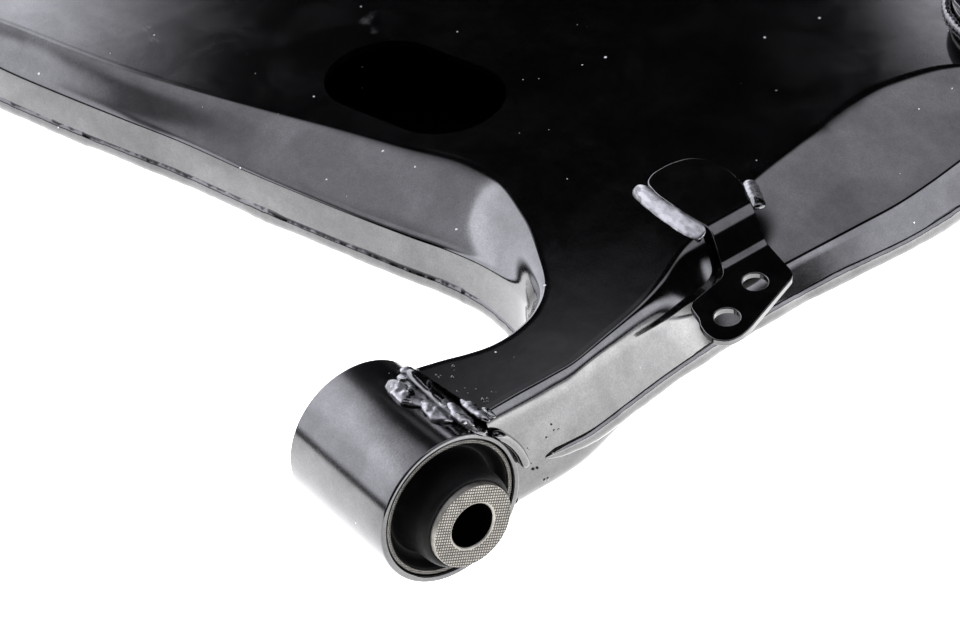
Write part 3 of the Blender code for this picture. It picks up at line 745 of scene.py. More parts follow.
@dataclass(frozen=True)
class TurnedSteel:
    """Zinc-grey steel with the fine rings of the lathe and a few stains.

    Attributes:
        name: name of the material.
        centre: a point of the turning axis, in metres.
        axis: direction of the turning axis.
        tint: base colour.
        shine: lowest roughness.
    """

    name: str
    centre: tuple[float, float, float]
    axis: Axis = Axis.UPRIGHT
    tint: tuple[float, float, float] = (0.14, 0.137, 0.13)
    shine: float = 0.3

    def rings(self, n: Nodes) -> tuple[Socket, Socket]:
        """Distance from the axis, and the distance along it, in metres."""
        away = n.mapped(tuple(-value for value in self.centre))
        x, y, z = n.split(away)
        along, first, second = (x, y, z) if self.axis is Axis.ALONG else (z, x, y)
        return n.length(first, second), along

    def groove_height(self, n: Nodes) -> Socket:
        """Lathe grooves about a quarter of a millimetre apart, both on faces and on barrels."""
        travel = n.times(n.plus(*self.rings(n)), 25000.0)
        return n.math("SINE", n.plus(travel, n.times(n.noise(300, 2), 3.0)))

    def material(self) -> bpy.types.Material:
        """Build the material.

        Returns:
            The material.
        """
        n = Nodes(self.name)
        n.set(Metallic=1.0)
        stain = n.noise(120, 5, 0.65)
        fine = n.noise(1500, 3, 0.6)
        dark = tuple(0.45 * value for value in self.tint)
        n.feed("Base Color", n.blend(n.span(stain, 0.35, 0.75), self.tint, dark))
        n.feed("Roughness", n.plus(n.span(stain, 0.3, 0.7, self.shine, self.shine + 0.22),
                                   n.span(fine, 0.3, 0.7, 0.0, 0.12)))
        relief = n.bump(self.groove_height(n), 0.008)
        n.feed("Normal", n.bump(fine, 0.012, relief))
        return n.material


@dataclass(frozen=True)
class KnurledSteel(TurnedSteel):
    """Sleeve steel whose end faces carry a pressed diamond knurl outside a smooth bore chamfer, with painted
    shade in the knurl's grooves and in the bore.

    Attributes:
        bore: radius in millimetres where the smooth chamfer ends.
        pitch: distance between knurl lines in millimetres.
    """

    bore: float = 8.1
    pitch: float = 0.92

    def material(self) -> bpy.types.Material:
        """Build the material.

        Returns:
            The material.
        """
        n = Nodes(self.name)
        n.set(Metallic=1.0)
        radius, _ = self.rings(n)
        stain = n.noise(260, 4, 0.6)
        fine = n.noise(1800, 3, 0.6)
        x, y, z = n.split(n.place)
        across, up = (y, z) if self.axis is Axis.ALONG else (x, y)
        waves = []
        for degrees in (62.0, -24.0):
            lean = math.radians(degrees)
            turn = 2 * math.pi / (self.pitch * MM)
            phase = n.plus(n.times(across, turn * math.cos(lean)), n.times(up, turn * math.sin(lean)),
                           n.times(n.noise(220, 2), 1.4))
            waves.append(n.span(n.math("SINE", phase), -0.85, 0.15))
        knurl = n.times(*waves)
        normal = n.split(n.coordinates.outputs["Normal"])[0 if self.axis is Axis.ALONG else 2]
        end_face = n.math("GREATER_THAN", n.math("ABSOLUTE", normal), 0.9)
        outside = n.math("GREATER_THAN", radius, self.bore * MM)
        mask = n.times(end_face, outside)
        cut = n.times(mask, n.math("SUBTRACT", 1.0, knurl))
        pale = n.blend(n.span(stain, 0.35, 0.7), self.tint, tuple(0.72 * value for value in self.tint))
        # Painted shade: the knurl's grooves are coloured near black, as if shade falls in them.
        face = n.blend(n.times(cut, 0.8), pale, (0.012, 0.011, 0.0095))
        # Painted shade: the bore's wall is coloured near black, as the deep hole lies in shade.
        painted_bore_shade = n.math("LESS_THAN", radius, (self.bore - 0.7) * MM)
        n.feed("Base Color", n.blend(painted_bore_shade, face, (0.004, 0.0038, 0.0035)))
        n.feed("Roughness", n.plus(n.span(fine, 0.3, 0.7, self.shine, self.shine + 0.15),
                                   n.times(cut, 0.2)))
        relief = n.bump(n.times(mask, knurl), 0.11)
        n.feed("Normal", n.bump(fine, 0.015, relief))
        return n.material


@dataclass(frozen=True)
class Rubber:
    """Black moulded rubber with a dry skin and grey bloom.

    Attributes:
        name: name of the material.
        bloom: how much grey bloom shows, from 0 to 1.
    """

    name: str
    bloom: float = 0.5

    def material(self) -> bpy.types.Material:
        """Build the material.

        Returns:
            The material.
        """
        n = Nodes(self.name)
        n.set(IOR=1.16)
        haze = n.noise(90, 5, 0.65)
        skin = n.noise(1500, 4, 0.6)
        share = n.times(n.span(haze, 0.5, 0.85), self.bloom)
        n.feed("Base Color", n.blend(share, (0.003, 0.003, 0.0032), (0.02, 0.0195, 0.019)))
        n.feed("Roughness", n.span(skin, 0.3, 0.7, 0.42, 0.62))
        relief = n.bump(skin, 0.02)
        n.feed("Normal", n.bump(haze, 0.06, relief))
        return n.material


@dataclass(frozen=True)
class MouldedPlastic:
    """Ivory bearing plastic.

    Attributes:
        name: name of the material.
    """

    name: str

    def material(self) -> bpy.types.Material:
        """Build the material.

        Returns:
            The material.
        """
        n = Nodes(self.name)
        n.set(IOR=1.5)
        flow = n.noise(60, 3, 0.6, distortion=1.0)
        fine = n.noise(900, 3)
        n.feed("Base Color", n.blend(n.span(flow, 0.3, 0.7), (0.68, 0.66, 0.6), (0.76, 0.74, 0.68)))
        n.feed("Roughness", n.span(fine, 0.3, 0.7, 0.3, 0.45))
        n.feed("Normal", n.bump(fine, 0.01))
        return n.material


# ---------------- building one piece


@dataclass(frozen=True)
class Bench:
    """Makes pieces: places them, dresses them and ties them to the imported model.

    Attributes:
        datum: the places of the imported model.
    """

    datum: Datum

    def make(self, surface: Surface, name: str, finish: object, body: str = "arm",
             node: str | None = None, smooth_angle: float = 35.0) -> bpy.types.Object:
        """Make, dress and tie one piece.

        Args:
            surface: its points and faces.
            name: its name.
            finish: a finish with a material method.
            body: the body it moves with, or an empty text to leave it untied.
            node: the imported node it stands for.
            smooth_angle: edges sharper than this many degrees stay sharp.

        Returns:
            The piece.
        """
        piece = surface.to_object(name, self.datum.shift, smooth_angle)
        piece.data.materials.append(finish.material())
        if body:
            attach(piece, body)
        if node is not None:
            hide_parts(node)
        LOG.info("%s: %d faces", name, len(piece.data.polygons))
        return piece

    def world(self, place: np.ndarray) -> tuple[float, float, float]:
        """Metres of a place given in millimetres."""
        return tuple((np.array(place) * MM + self.datum.shift).tolist())


@dataclass(frozen=True)
class Assembly:
    """A group of pieces made on one bench.

    Attributes:
        bench: maker of the pieces.
    """

    bench: Bench


# ---------------- pressed shells


@dataclass(frozen=True)
class Rim:
    """Line of the lap seam round the arm, with the shape of the shoulder at each station.

    Each station holds the seam's x and y, how far in the flat top begins, how far in the
    crease lies, and the crease's height.
    """

    front_edge: tuple = (
        (25.5, 17, 4, 1.2, 20), (25.7, 30, 4.5, 1.5, 20), (27.0, 42, 5.5, 2.5, 19.5),
        (27.3, 52, 6, 3, 19.5), (25.2, 66, 7, 3.5, 19), (22.8, 82, 8.5, 4, 18),
        (21.4, 96, 12.5, 4.5, 15), (20.6, 110, 18.5, 4.5, 12.5), (20.3, 126, 22.5, 4, 12),
        (20.7, 146, 31.5, 4, 12), (22.3, 165, 38, 4.5, 12.5), (23.7, 181, 42.5, 5, 13),
        (23.4, 197, 44.5, 5.5, 13.5), (21.8, 212, 43, 5.5, 14), (20.2, 228, 36, 4, 16),
        (19.8, 244, 22, 2.5, 18.5), (20.0, 260, 11, 2, 19.5),
    )
    trailing_edge: tuple = (
        (-85, 268, 13, 2.2, 18), (-125, 228, 16, 2.5, 17), (-168, 189, 17, 2.5, 16.5),
        (-212, 154, 17, 2.5, 16.5), (-257, 122, 15, 2.3, 17), (-297, 95, 11, 2, 18),
        (-322, 79, 8, 2, 19.5), (-338, 73, 7, 2, 20),
    )
    inner_edge: tuple = (
        (-338, 0, 7, 2, 20), (-318, 2.2, 8, 2, 18.5), (-296, 5.6, 11, 2.2, 15.5),
        (-263, 12.4, 13, 2.4, 14), (-236, 18.6, 13.5, 2.5, 14), (-207, 26.1, 14, 2.5, 14),
        (-180, 33.4, 16, 2.5, 14), (-151, 39.6, 21, 2.5, 14), (-124, 46, 25.5, 2.5, 14),
        (-99.5, 52.2, 28.5, 2.5, 14), (-79, 57.6, 31.5, 3, 14), (-64, 61.8, 28.5, 3.5, 14),
        (-48, 64, 20, 3.8, 14.5), (-31, 63, 13, 3.5, 16), (-18, 59.6, 9, 2.5, 18),
        (-10, 54, 5.5, 1.8, 19.5), (-6.6, 46.5, 4.5, 1.5, 20), (-6.2, 39, 4.5, 1.3, 20),
        (-8, 32, 4.5, 1.3, 20), (-10.5, 25, 4.2, 1.2, 20), (-13, 17, 4, 1.2, 20),
    )
    lobe_radius: float = 40.0
    lobe_angles: tuple = (0, 30, 60, 90, 115, 138)
    lobe_shoulder: tuple = (8.0, 2.0, 19.5)
    per_span: int = 12

    def runs(self, ball: np.ndarray) -> tuple[np.ndarray, np.ndarray]:
        """The outer run, front to rear round the ball joint, and the inner run back again.

        Args:
            ball: plan centre of the ball joint.

        Returns:
            Fine stations of both runs.
        """
        angle = np.radians(self.lobe_angles)
        lobe = np.column_stack([ball[:2] + self.lobe_radius * around(angle)[:, :2],
                                np.broadcast_to(self.lobe_shoulder, (len(angle), 3))])
        outer = np.vstack([np.array(self.front_edge, float), lobe, np.array(self.trailing_edge, float)])
        return catmull_rom(outer, self.per_span), catmull_rom(np.array(self.inner_edge, float), self.per_span)

    @staticmethod
    def inward(run: np.ndarray) -> np.ndarray:
        """Unit plan vectors to the left of the run: its tangent turned by a right angle."""
        tangent = np.gradient(run[:, :2], axis=0)
        tangent /= np.linalg.norm(tangent, axis=1, keepdims=True)
        return np.stack([-tangent[:, 1], tangent[:, 0]], axis=1)

    @classmethod
    def swept(cls, run: np.ndarray, section: np.ndarray) -> np.ndarray:
        """Grid of points: seam + inset times the inward vector, at the section's height.

        Args:
            run: fine stations.
            section: (inset, height) pairs for each station.

        Returns:
            The grid, stations by section points.
        """
        plan = run[:, None, :2] + section[..., :1] * cls.inward(run)[:, None]
        return np.concatenate([plan, section[..., 1:]], axis=-1)


@dataclass(frozen=True)
class PressedShells(Assembly):
    """The upper and the lower pressed shell.

    Attributes are sizes in millimetres, with heights from the front bush's axis.
    """

    rim: Rim
    sheet: float = 2.5
    top: float = 25.0
    seam: float = 2.5
    lap_top: float = 6.0
    floor: float = -6.0
    lap_inset: float = 3.3
    lower_bend: float = 4.5
    leg_drop: float = 11.0
    border: float = 2.0
    crease_bend: float = 1.7
    drop_start: float = 100.0
    drop_run: float = 70.0
    drop_below: float = 2.0
    tube_end: float = 45.0
    tube_reach: float = 25.25
    ring_reach: float = 33.25
    carrier_reach: float = 27.3
    oval_centre: tuple = (-132.6, 102.0)
    oval_pitch: float = 13.6
    oval_radius: float = 20.5
    oval_turn: float = 13.3
    drains: tuple = ((-205.0, 92.0), (-84.0, 176.0))
    drain_radius: float = 6.0

    def upper_section(self, run: np.ndarray) -> np.ndarray:
        """Wall, rounded crease, shoulder and a narrow level border of the upper shell.

        The wall leans in by lip up to the crease. The shoulder rises to the top by
        sin(t pi/2) where it is narrow and by 0.4t + 0.6(3t^2-2t^3) where it is wide, which
        makes a ledge.

        Args:
            run: fine stations.

        Returns:
            (inset, height) pairs for each station.
        """
        flat, lip, crease = run[:, 2:3], run[:, 3:4], run[:, 4:5]
        width = flat - lip
        ledge = smooth_step((width - 5) / 11)

        def shoulder(t: np.ndarray) -> np.ndarray:
            """Point of the shoulder at the share t of its width."""
            rise = np.sin(t * np.pi / 2)
            rise = rise + (0.4 * t + 0.6 * smooth_step(t) - rise) * ledge
            return np.stack([lip + width * t, crease + (self.top - crease) * rise], axis=-1)

        base = np.stack([np.zeros_like(lip), np.full_like(lip, self.seam)], axis=-1)
        edge = np.stack([lip, crease], axis=-1)
        slope = (base - edge) / np.linalg.norm(base - edge, axis=-1, keepdims=True)
        wall_top = edge + slope * self.crease_bend
        cut = np.minimum(self.crease_bend / width, 0.3)
        shelf = shoulder(cut)
        t = np.linspace(0, 1, 7)[None, :-1, None]
        wall = base + (wall_top - base) * t
        bend = wall_top * (1 - t) ** 2 + edge * 2 * t * (1 - t) + shelf * t**2
        rest = shoulder(cut + (1 - cut) * np.linspace(0, 1, 17)[None])
        level = np.stack([flat + self.border, np.full_like(flat, self.top)], axis=-1)
        return np.concatenate([wall, bend, rest, level], axis=1)

    def lower_section(self, run: np.ndarray) -> np.ndarray:
        """Rim inside the upper wall, then down and round into the floor.

        Args:
            run: fine stations.

        Returns:
            (inset, height) pairs for each station.
        """
        lean = run[:, 3] * (self.lap_top - self.seam) / (run[:, 4] - self.seam)
        t = np.linspace(0, 1, 7)
        start = np.array([self.lap_inset, self.floor + self.lower_bend])
        middle = np.array([self.lap_inset, self.floor])
        end = np.array([self.lap_inset + self.lower_bend, self.floor])
        bend = np.outer((1 - t) ** 2, start) + np.outer(2 * t * (1 - t), middle) + np.outer(t**2, end)
        fixed = np.vstack([[self.lap_inset, self.seam], [self.lap_inset, (self.seam + start[1]) / 2], bend])
        rim = np.stack([self.lap_inset + lean, np.full(len(run), self.lap_top)], axis=-1)[:, None]
        return np.concatenate([rim, np.broadcast_to(fixed, (len(run), *fixed.shape))], axis=1)

    def oval(self) -> np.ndarray:
        """Outline of the long hole: two half circles on a turned line."""
        angle = np.linspace(-np.pi / 2, np.pi / 2, 33)
        half = np.array([self.oval_pitch, 0.0]) + self.oval_radius * around(angle)[:, :2]
        line = np.vstack([half, -half])
        turn = math.radians(self.oval_turn)
        matrix = np.array([[math.cos(turn), math.sin(turn)], [-math.sin(turn), math.cos(turn)]])
        return line @ matrix + np.array(self.oval_centre)

    def skin(self, section: Measure, holes: list[np.ndarray], level: float) -> Surface:
        """Walls on both runs and the flat between them, trimmed to the tube and the ring.

        Args:
            section: gives the (inset, height) pairs of a run.
            holes: outlines left open in the flat.
            level: height of the flat.

        Returns:
            The open skin.
        """
        rear = self.bench.datum.rear[:2]
        surface = Surface()
        edges = []
        for run in self.rim.runs(self.bench.datum.ball):
            grid = Rim.swept(run, section(run))
            surface.add_grid(grid)
            edges.append(grid[:, -1, :2])
        plan, faces = plate(np.vstack(edges), holes, 5.0)
        surface.add(np.column_stack([plan, np.full(len(plan), level)]), faces)

        def from_tube(points: np.ndarray) -> np.ndarray:
            """Distance from the tube's axis, or a large one beyond the tube's ends."""
            return np.where(np.abs(points[:, 0]) < self.tube_end, np.hypot(points[:, 1], points[:, 2]), 1e3)

        def out_of_tube(points: np.ndarray) -> np.ndarray:
            """Points moved straight out to the tube."""
            share = self.tube_reach / np.maximum(from_tube(points), 1e-6)
            return points * np.stack([np.ones_like(share), share, share], axis=1)

        def from_ring(points: np.ndarray) -> np.ndarray:
            """Plan distance from the rear ring's axis."""
            return np.linalg.norm(points[:, :2] - rear, axis=1)

        def out_of_ring(points: np.ndarray) -> np.ndarray:
            """Points moved straight out to the ring."""
            share = (self.ring_reach / np.maximum(from_ring(points), 1e-6))[:, None]
            return np.column_stack([rear + (points[:, :2] - rear) * share, points[:, 2]])

        surface.trimmed(from_tube, self.tube_reach, out_of_tube)
        return surface.trimmed(from_ring, self.ring_reach, out_of_ring)

    def build(self) -> None:
        """Make both shells."""
        carrier = circle(self.bench.datum.ball, self.carrier_reach, 96)
        upper = self.skin(self.upper_section, [self.oval(), carrier], self.top)
        piece = self.bench.make(upper, "upper_pressing", BlackCoat("black_coat_upper"), node="upper_shell")
        soften(thicken(face_towards(piece, 1.0), self.sheet), 0.7, segments=3)
        drains = [circle(place, self.drain_radius, 40) for place in self.drains]
        lower = self.skin(self.lower_section, [carrier, *drains], self.floor)
        points = np.vstack(lower.points)
        reach = np.hypot(points[:, 0], points[:, 1])
        drop = self.leg_drop * smooth_step((self.drop_start - reach) / self.drop_run)
        depth = (self.drop_below - points[:, 2]) / (self.drop_below - self.floor)
        points[:, 2] -= np.clip(depth, 0, 1) * drop
        lower.points = [points]
        piece = self.bench.make(lower, "lower_pressing", BlackCoat("black_coat_lower"), node="lower_shell")
        soften(thicken(face_towards(piece, -1.0), self.sheet), 0.4)


@dataclass(frozen=True)
class SeamWelds(Assembly):
    """The three long lap welds under the upper shell's rim.

    Attributes are sizes in millimetres and shares of a run.
    """

    rim: Rim
    inset: float = 0.9
    height: float = -0.4
    half_width: float = 2.1
    half_height: float = 3.3
    front_share: tuple = (0.045, 0.56)
    trailing_share: tuple = (0.585, 0.965)
    inner_share: tuple = (0.05, 0.93)

    def strip(self, run: np.ndarray, share: tuple, seed: int) -> Surface:
        """One bead on a share of a run, uneven in width and a little lower in places.

        Args:
            run: fine stations.
            share: first and last share of the run.
            seed: number of the noise pattern.

        Returns:
            The bead's surface.
        """
        first, last = (round(value * (len(run) - 1)) for value in share)
        part = run[first:last + 1]
        inward = Rim.inward(part)
        middle = np.column_stack([part[:, :2] + self.inset * inward, np.full(len(part), self.height)])
        fine = catmull_rom(middle, 5)
        across = catmull_rom(np.column_stack([inward, np.zeros(len(part))]), 5)
        down = np.cross(across, np.gradient(fine, axis=0))
        down /= np.linalg.norm(down, axis=1, keepdims=True)
        swell = 1 + 0.1 * value_noise(fine, 14.0, seed) + 0.04 * value_noise(fine, 5.0, seed + 1)
        dips = smooth_step((value_noise(fine, 17.0, seed + 2) + 0.66) / 0.3)
        size = swell * (0.92 + 0.08 * dips)
        return bead(fine, across, down, self.half_width * size, self.half_height * size, 0.03, seed + 3)

    def build(self) -> None:
        """Make the beads."""
        outer, inner = self.rim.runs(self.bench.datum.ball)
        rows = (("front_seam", outer, self.front_share, 11),
                ("trailing_seam", outer, self.trailing_share, 23),
                ("inner_seam", inner, self.inner_share, 37))
        for name, run, share, seed in rows:
            finish = BlackCoat("coat_on_" + name + "_weld", 0.003, 0.09)
            self.bench.make(self.strip(run, share, seed), name + "_bead", finish, node=name + "_weld",
                            smooth_angle=80)


# ---------------- front bush


@dataclass(frozen=True)
class FrontBush(Assembly):
    """Welded tube, its weld metal, the bonded bush and the knurled sleeve.

    Attributes are sizes in millimetres. A puddle holds its x, y and z, the slope it lies on in
    degrees, its three half sizes and the number of its noise pattern.
    """

    tube_radius: float = 25.0
    tube_bore: float = 23.0
    tube_half: float = 24.65
    sleeve_radius: float = 13.8
    sleeve_half: float = 35.35
    bolt_radius: float = 7.2
    can_section: tuple = (21.3, 22.6, -23.9, 23.9)
    rubber_gap: float = 0.12
    flank_bead_radius: float = 26.2
    flank_bead_arc: tuple = (4, 50)
    steps: int = 192
    puddles: tuple = (
        (-2.2, 6.8, 24.4, 76, 7.8, 5.2, 1.8, 71), (-7.4, 10.2, 24.1, 68, 3.6, 3.4, 1.4, 72),
        (5.2, 8.6, 24.0, 70, 3.4, 2.2, 1.0, 73), (11.8, 8.4, 24.2, 72, 5.6, 4.0, 1.7, 74),
        (17.4, 12.0, 24.7, 66, 7.6, 2.2, 1.4, 75), (18.8, 16.2, 25.3, 76, 7.4, 1.8, 1.2, 76),
        (22.6, 18.6, 25.0, 66, 3.4, 1.4, 1.1, 77), (-10.6, 13.2, 24.4, 72, 2.6, 2.6, 1.2, 78),
    )

    def lathe(self, profile: np.ndarray, radius: float, steps: int) -> Surface:
        """Profile with rounded corners, turned round the bush's axis."""
        return turned(rounded(profile, radius, steps), np.zeros(3), Axis.ALONG, self.steps)

    def steel(self, name: str, tint: tuple, *sizes: float) -> KnurledSteel:
        """Bright steel whose rings run round the bush's axis."""
        return KnurledSteel(name, self.bench.world(np.zeros(3)), Axis.ALONG, tint, 0.4, *sizes)

    def tube(self) -> None:
        """Thick tube with rounded rims."""
        profile = hoop(self.tube_bore, self.tube_radius, -self.tube_half, self.tube_half)
        finish = BlackCoat("black_coat_tube", 0.007, 0.12, 0.6)
        self.bench.make(self.lathe(profile, 0.98, 7), "bush_tube", finish, node="front_bush_housing")

    def can(self) -> None:
        """Thin outer can with a rounded lip and a scored end."""
        finish = self.steel("can_steel", (0.2, 0.192, 0.178), 0.0, 0.6)
        surface = self.lathe(hoop(*self.can_section), 0.45, 4)
        self.bench.make(surface, "bush_can", finish, node="front_bush_outer_can")

    def rubber(self) -> None:
        """Bonded rubber: a dished face and a collar that climbs the sleeve."""
        hole = self.sleeve_radius + self.rubber_gap
        side = np.array([(21.15, 23.1), (20.5, 21.9), (19.6, 19.4), (17.9, 18.2), (16.9, 19.4), (16.4, 22.5),
                         (16.1, 29.5), (15.7, 31.9), (14.8, 33.1), (hole, 33.3)])
        mirrored = side[::-1] * np.array([1, -1])
        self.bench.make(self.lathe(np.vstack([side, mirrored]), 1.1, 4), "bush_rubber",
                        Rubber("bush_rubber_black"), node="front_bush_rubber", smooth_angle=50)

    def sleeve(self) -> None:
        """Inner sleeve with a chamfered bore and knurled ends."""
        profile = chamfered(self.bolt_radius, self.sleeve_radius, -self.sleeve_half, self.sleeve_half)
        self.bench.make(self.lathe(profile, 0.35, 3), "bush_sleeve",
                        self.steel("sleeve_steel", (0.24, 0.228, 0.205)), "front_sleeve",
                        "front_bush_inner_sleeve")

    def upper_weld(self) -> None:
        """Bead where the upper shell's end meets the tube.

        With s from 0 to 1 its path runs 38 mm along x, bows by sin(pi s) in y and sinks by 2.7 s^3.
        """
        s = np.linspace(0, 1, 120)
        path = np.column_stack([-12 + 38 * s, 14.2 - 1.0 * np.sin(s * np.pi), 23.6 - 2.7 * s**3])
        width = 3.9 + 0.5 * value_noise(path, 9.0, 5)
        height = 1.7 + 0.35 * value_noise(path, 8.0, 9)
        surface = bead(path, (0.0, 0.8, -0.6), (0.0, 0.6, 0.8), width, height, 0.1, 3, sides=28, cell=7.0)
        self.bench.make(surface, "tube_bead_upper", WeldCoat("coat_on_upper_bead", 0.8, 0.53),
                        node="front_housing_weld_upper", smooth_angle=80)

    def run_out(self) -> None:
        """Puddles and folds of metal that ran out over the upper bead.

        A puddle is its middle plus a unit ball, stretched by three half sizes on its own slope
        and swollen by noise.
        """
        ball = unit_ball(26, 44)
        surface = Surface()
        for x, y, z, degrees, half_length, half_width, half_height, seed in self.puddles:
            lean = math.radians(degrees)
            down = half_width * np.array([0.0, math.sin(lean), -math.cos(lean)])
            out = half_height * np.array([0.0, math.cos(lean), math.sin(lean)])
            middle = np.array([x, y, z])
            place = ball @ np.stack([[half_length, 0.0, 0.0], down, out])
            there = place + middle
            swell = 1 + 0.28 * value_noise(there, 3.4, seed) + 0.1 * value_noise(there, 1.6, seed)
            surface.add_grid(middle + place * swell[..., None], wrap_columns=True)
        finish = WeldCoat("coat_on_run_out", 0.95, 0.42)
        self.bench.make(surface, "tube_bead_run_out", finish, smooth_angle=80)

    def ring_weld(self, name: str, node: str, level: float, seed: int) -> None:
        """Bead round the tube's flank where a side wall ends on it.

        Args:
            name: name of the piece.
            node: the node it stands for.
            level: x of the bead.
            seed: number of the noise pattern.
        """
        outward = np.roll(around(np.radians(np.linspace(*self.flank_bead_arc, 70))), 1, axis=1)
        path = outward * self.flank_bead_radius + np.array([level, 0, 0])
        size = 1.9 + 0.25 * value_noise(path, 8.0, seed)
        surface = bead(path, (1.0, 0.0, 0.0), outward, size, size * 0.8, 0.06, seed, sides=20, cell=5.0)
        self.bench.make(surface, name, BlackCoat("coat_on_" + name, 0.004, 0.1), node=node, smooth_angle=80)

    def under_weld(self) -> None:
        """Straight bead under the leg, lying at 45 degrees between the tube and the shell."""
        s = np.linspace(0, 1, 70)
        path = np.column_stack([-8 + 29 * s, np.full(70, 19.6), np.full(70, -19.4)])
        size = 2.3 + 0.5 * value_noise(path, 6.0, 8)
        across, out = (0.0, 0.7071, 0.7071), (0.0, 0.7071, -0.7071)
        surface = bead(path, across, out, size, size * 0.8, 0.25, 6, 0.1, 2.2)
        self.bench.make(surface, "tube_bead_lower", WeldCoat("coat_on_lower_bead", 0.4),
                        node="front_housing_weld_lower", smooth_angle=60)

    def spatter(self) -> None:
        """Fine drops of weld metal stuck to the tube and the leg near the bead."""
        rng = np.random.default_rng(7)
        angle = np.radians(rng.normal(62, 9, 34))
        along = rng.uniform(-16, 24, 34)
        on_tube = np.column_stack([along, 25.1 * np.cos(angle), 25.1 * np.sin(angle)])
        on_leg = np.column_stack([rng.uniform(-6, 20, 16), rng.uniform(17.5, 26, 16), np.full(16, 25.05)])
        on_wall = np.column_stack([np.full(12, 25.75), rng.uniform(26, 44, 12), rng.uniform(-8, 12, 12)])
        places = np.vstack([on_tube, on_leg, on_wall])
        radii = rng.uniform(0.18, 0.55, len(places))
        finish = WeldCoat("coat_on_spatter", 0.4)
        self.bench.make(droplets(places, radii, 4), "weld_spatter", finish, smooth_angle=80)

    def build(self) -> None:
        """Make every piece of the front bush."""
        self.tube()
        self.can()
        self.rubber()
        self.sleeve()
        self.upper_weld()
        self.run_out()
        self.ring_weld("tube_bead_forward", "front_housing_weld_forward", 26.6, 12)
        self.ring_weld("tube_bead_backward", "front_housing_weld_backward", -14.4, 15)
        self.under_weld()
        self.spatter()


# ---------------- rear bush


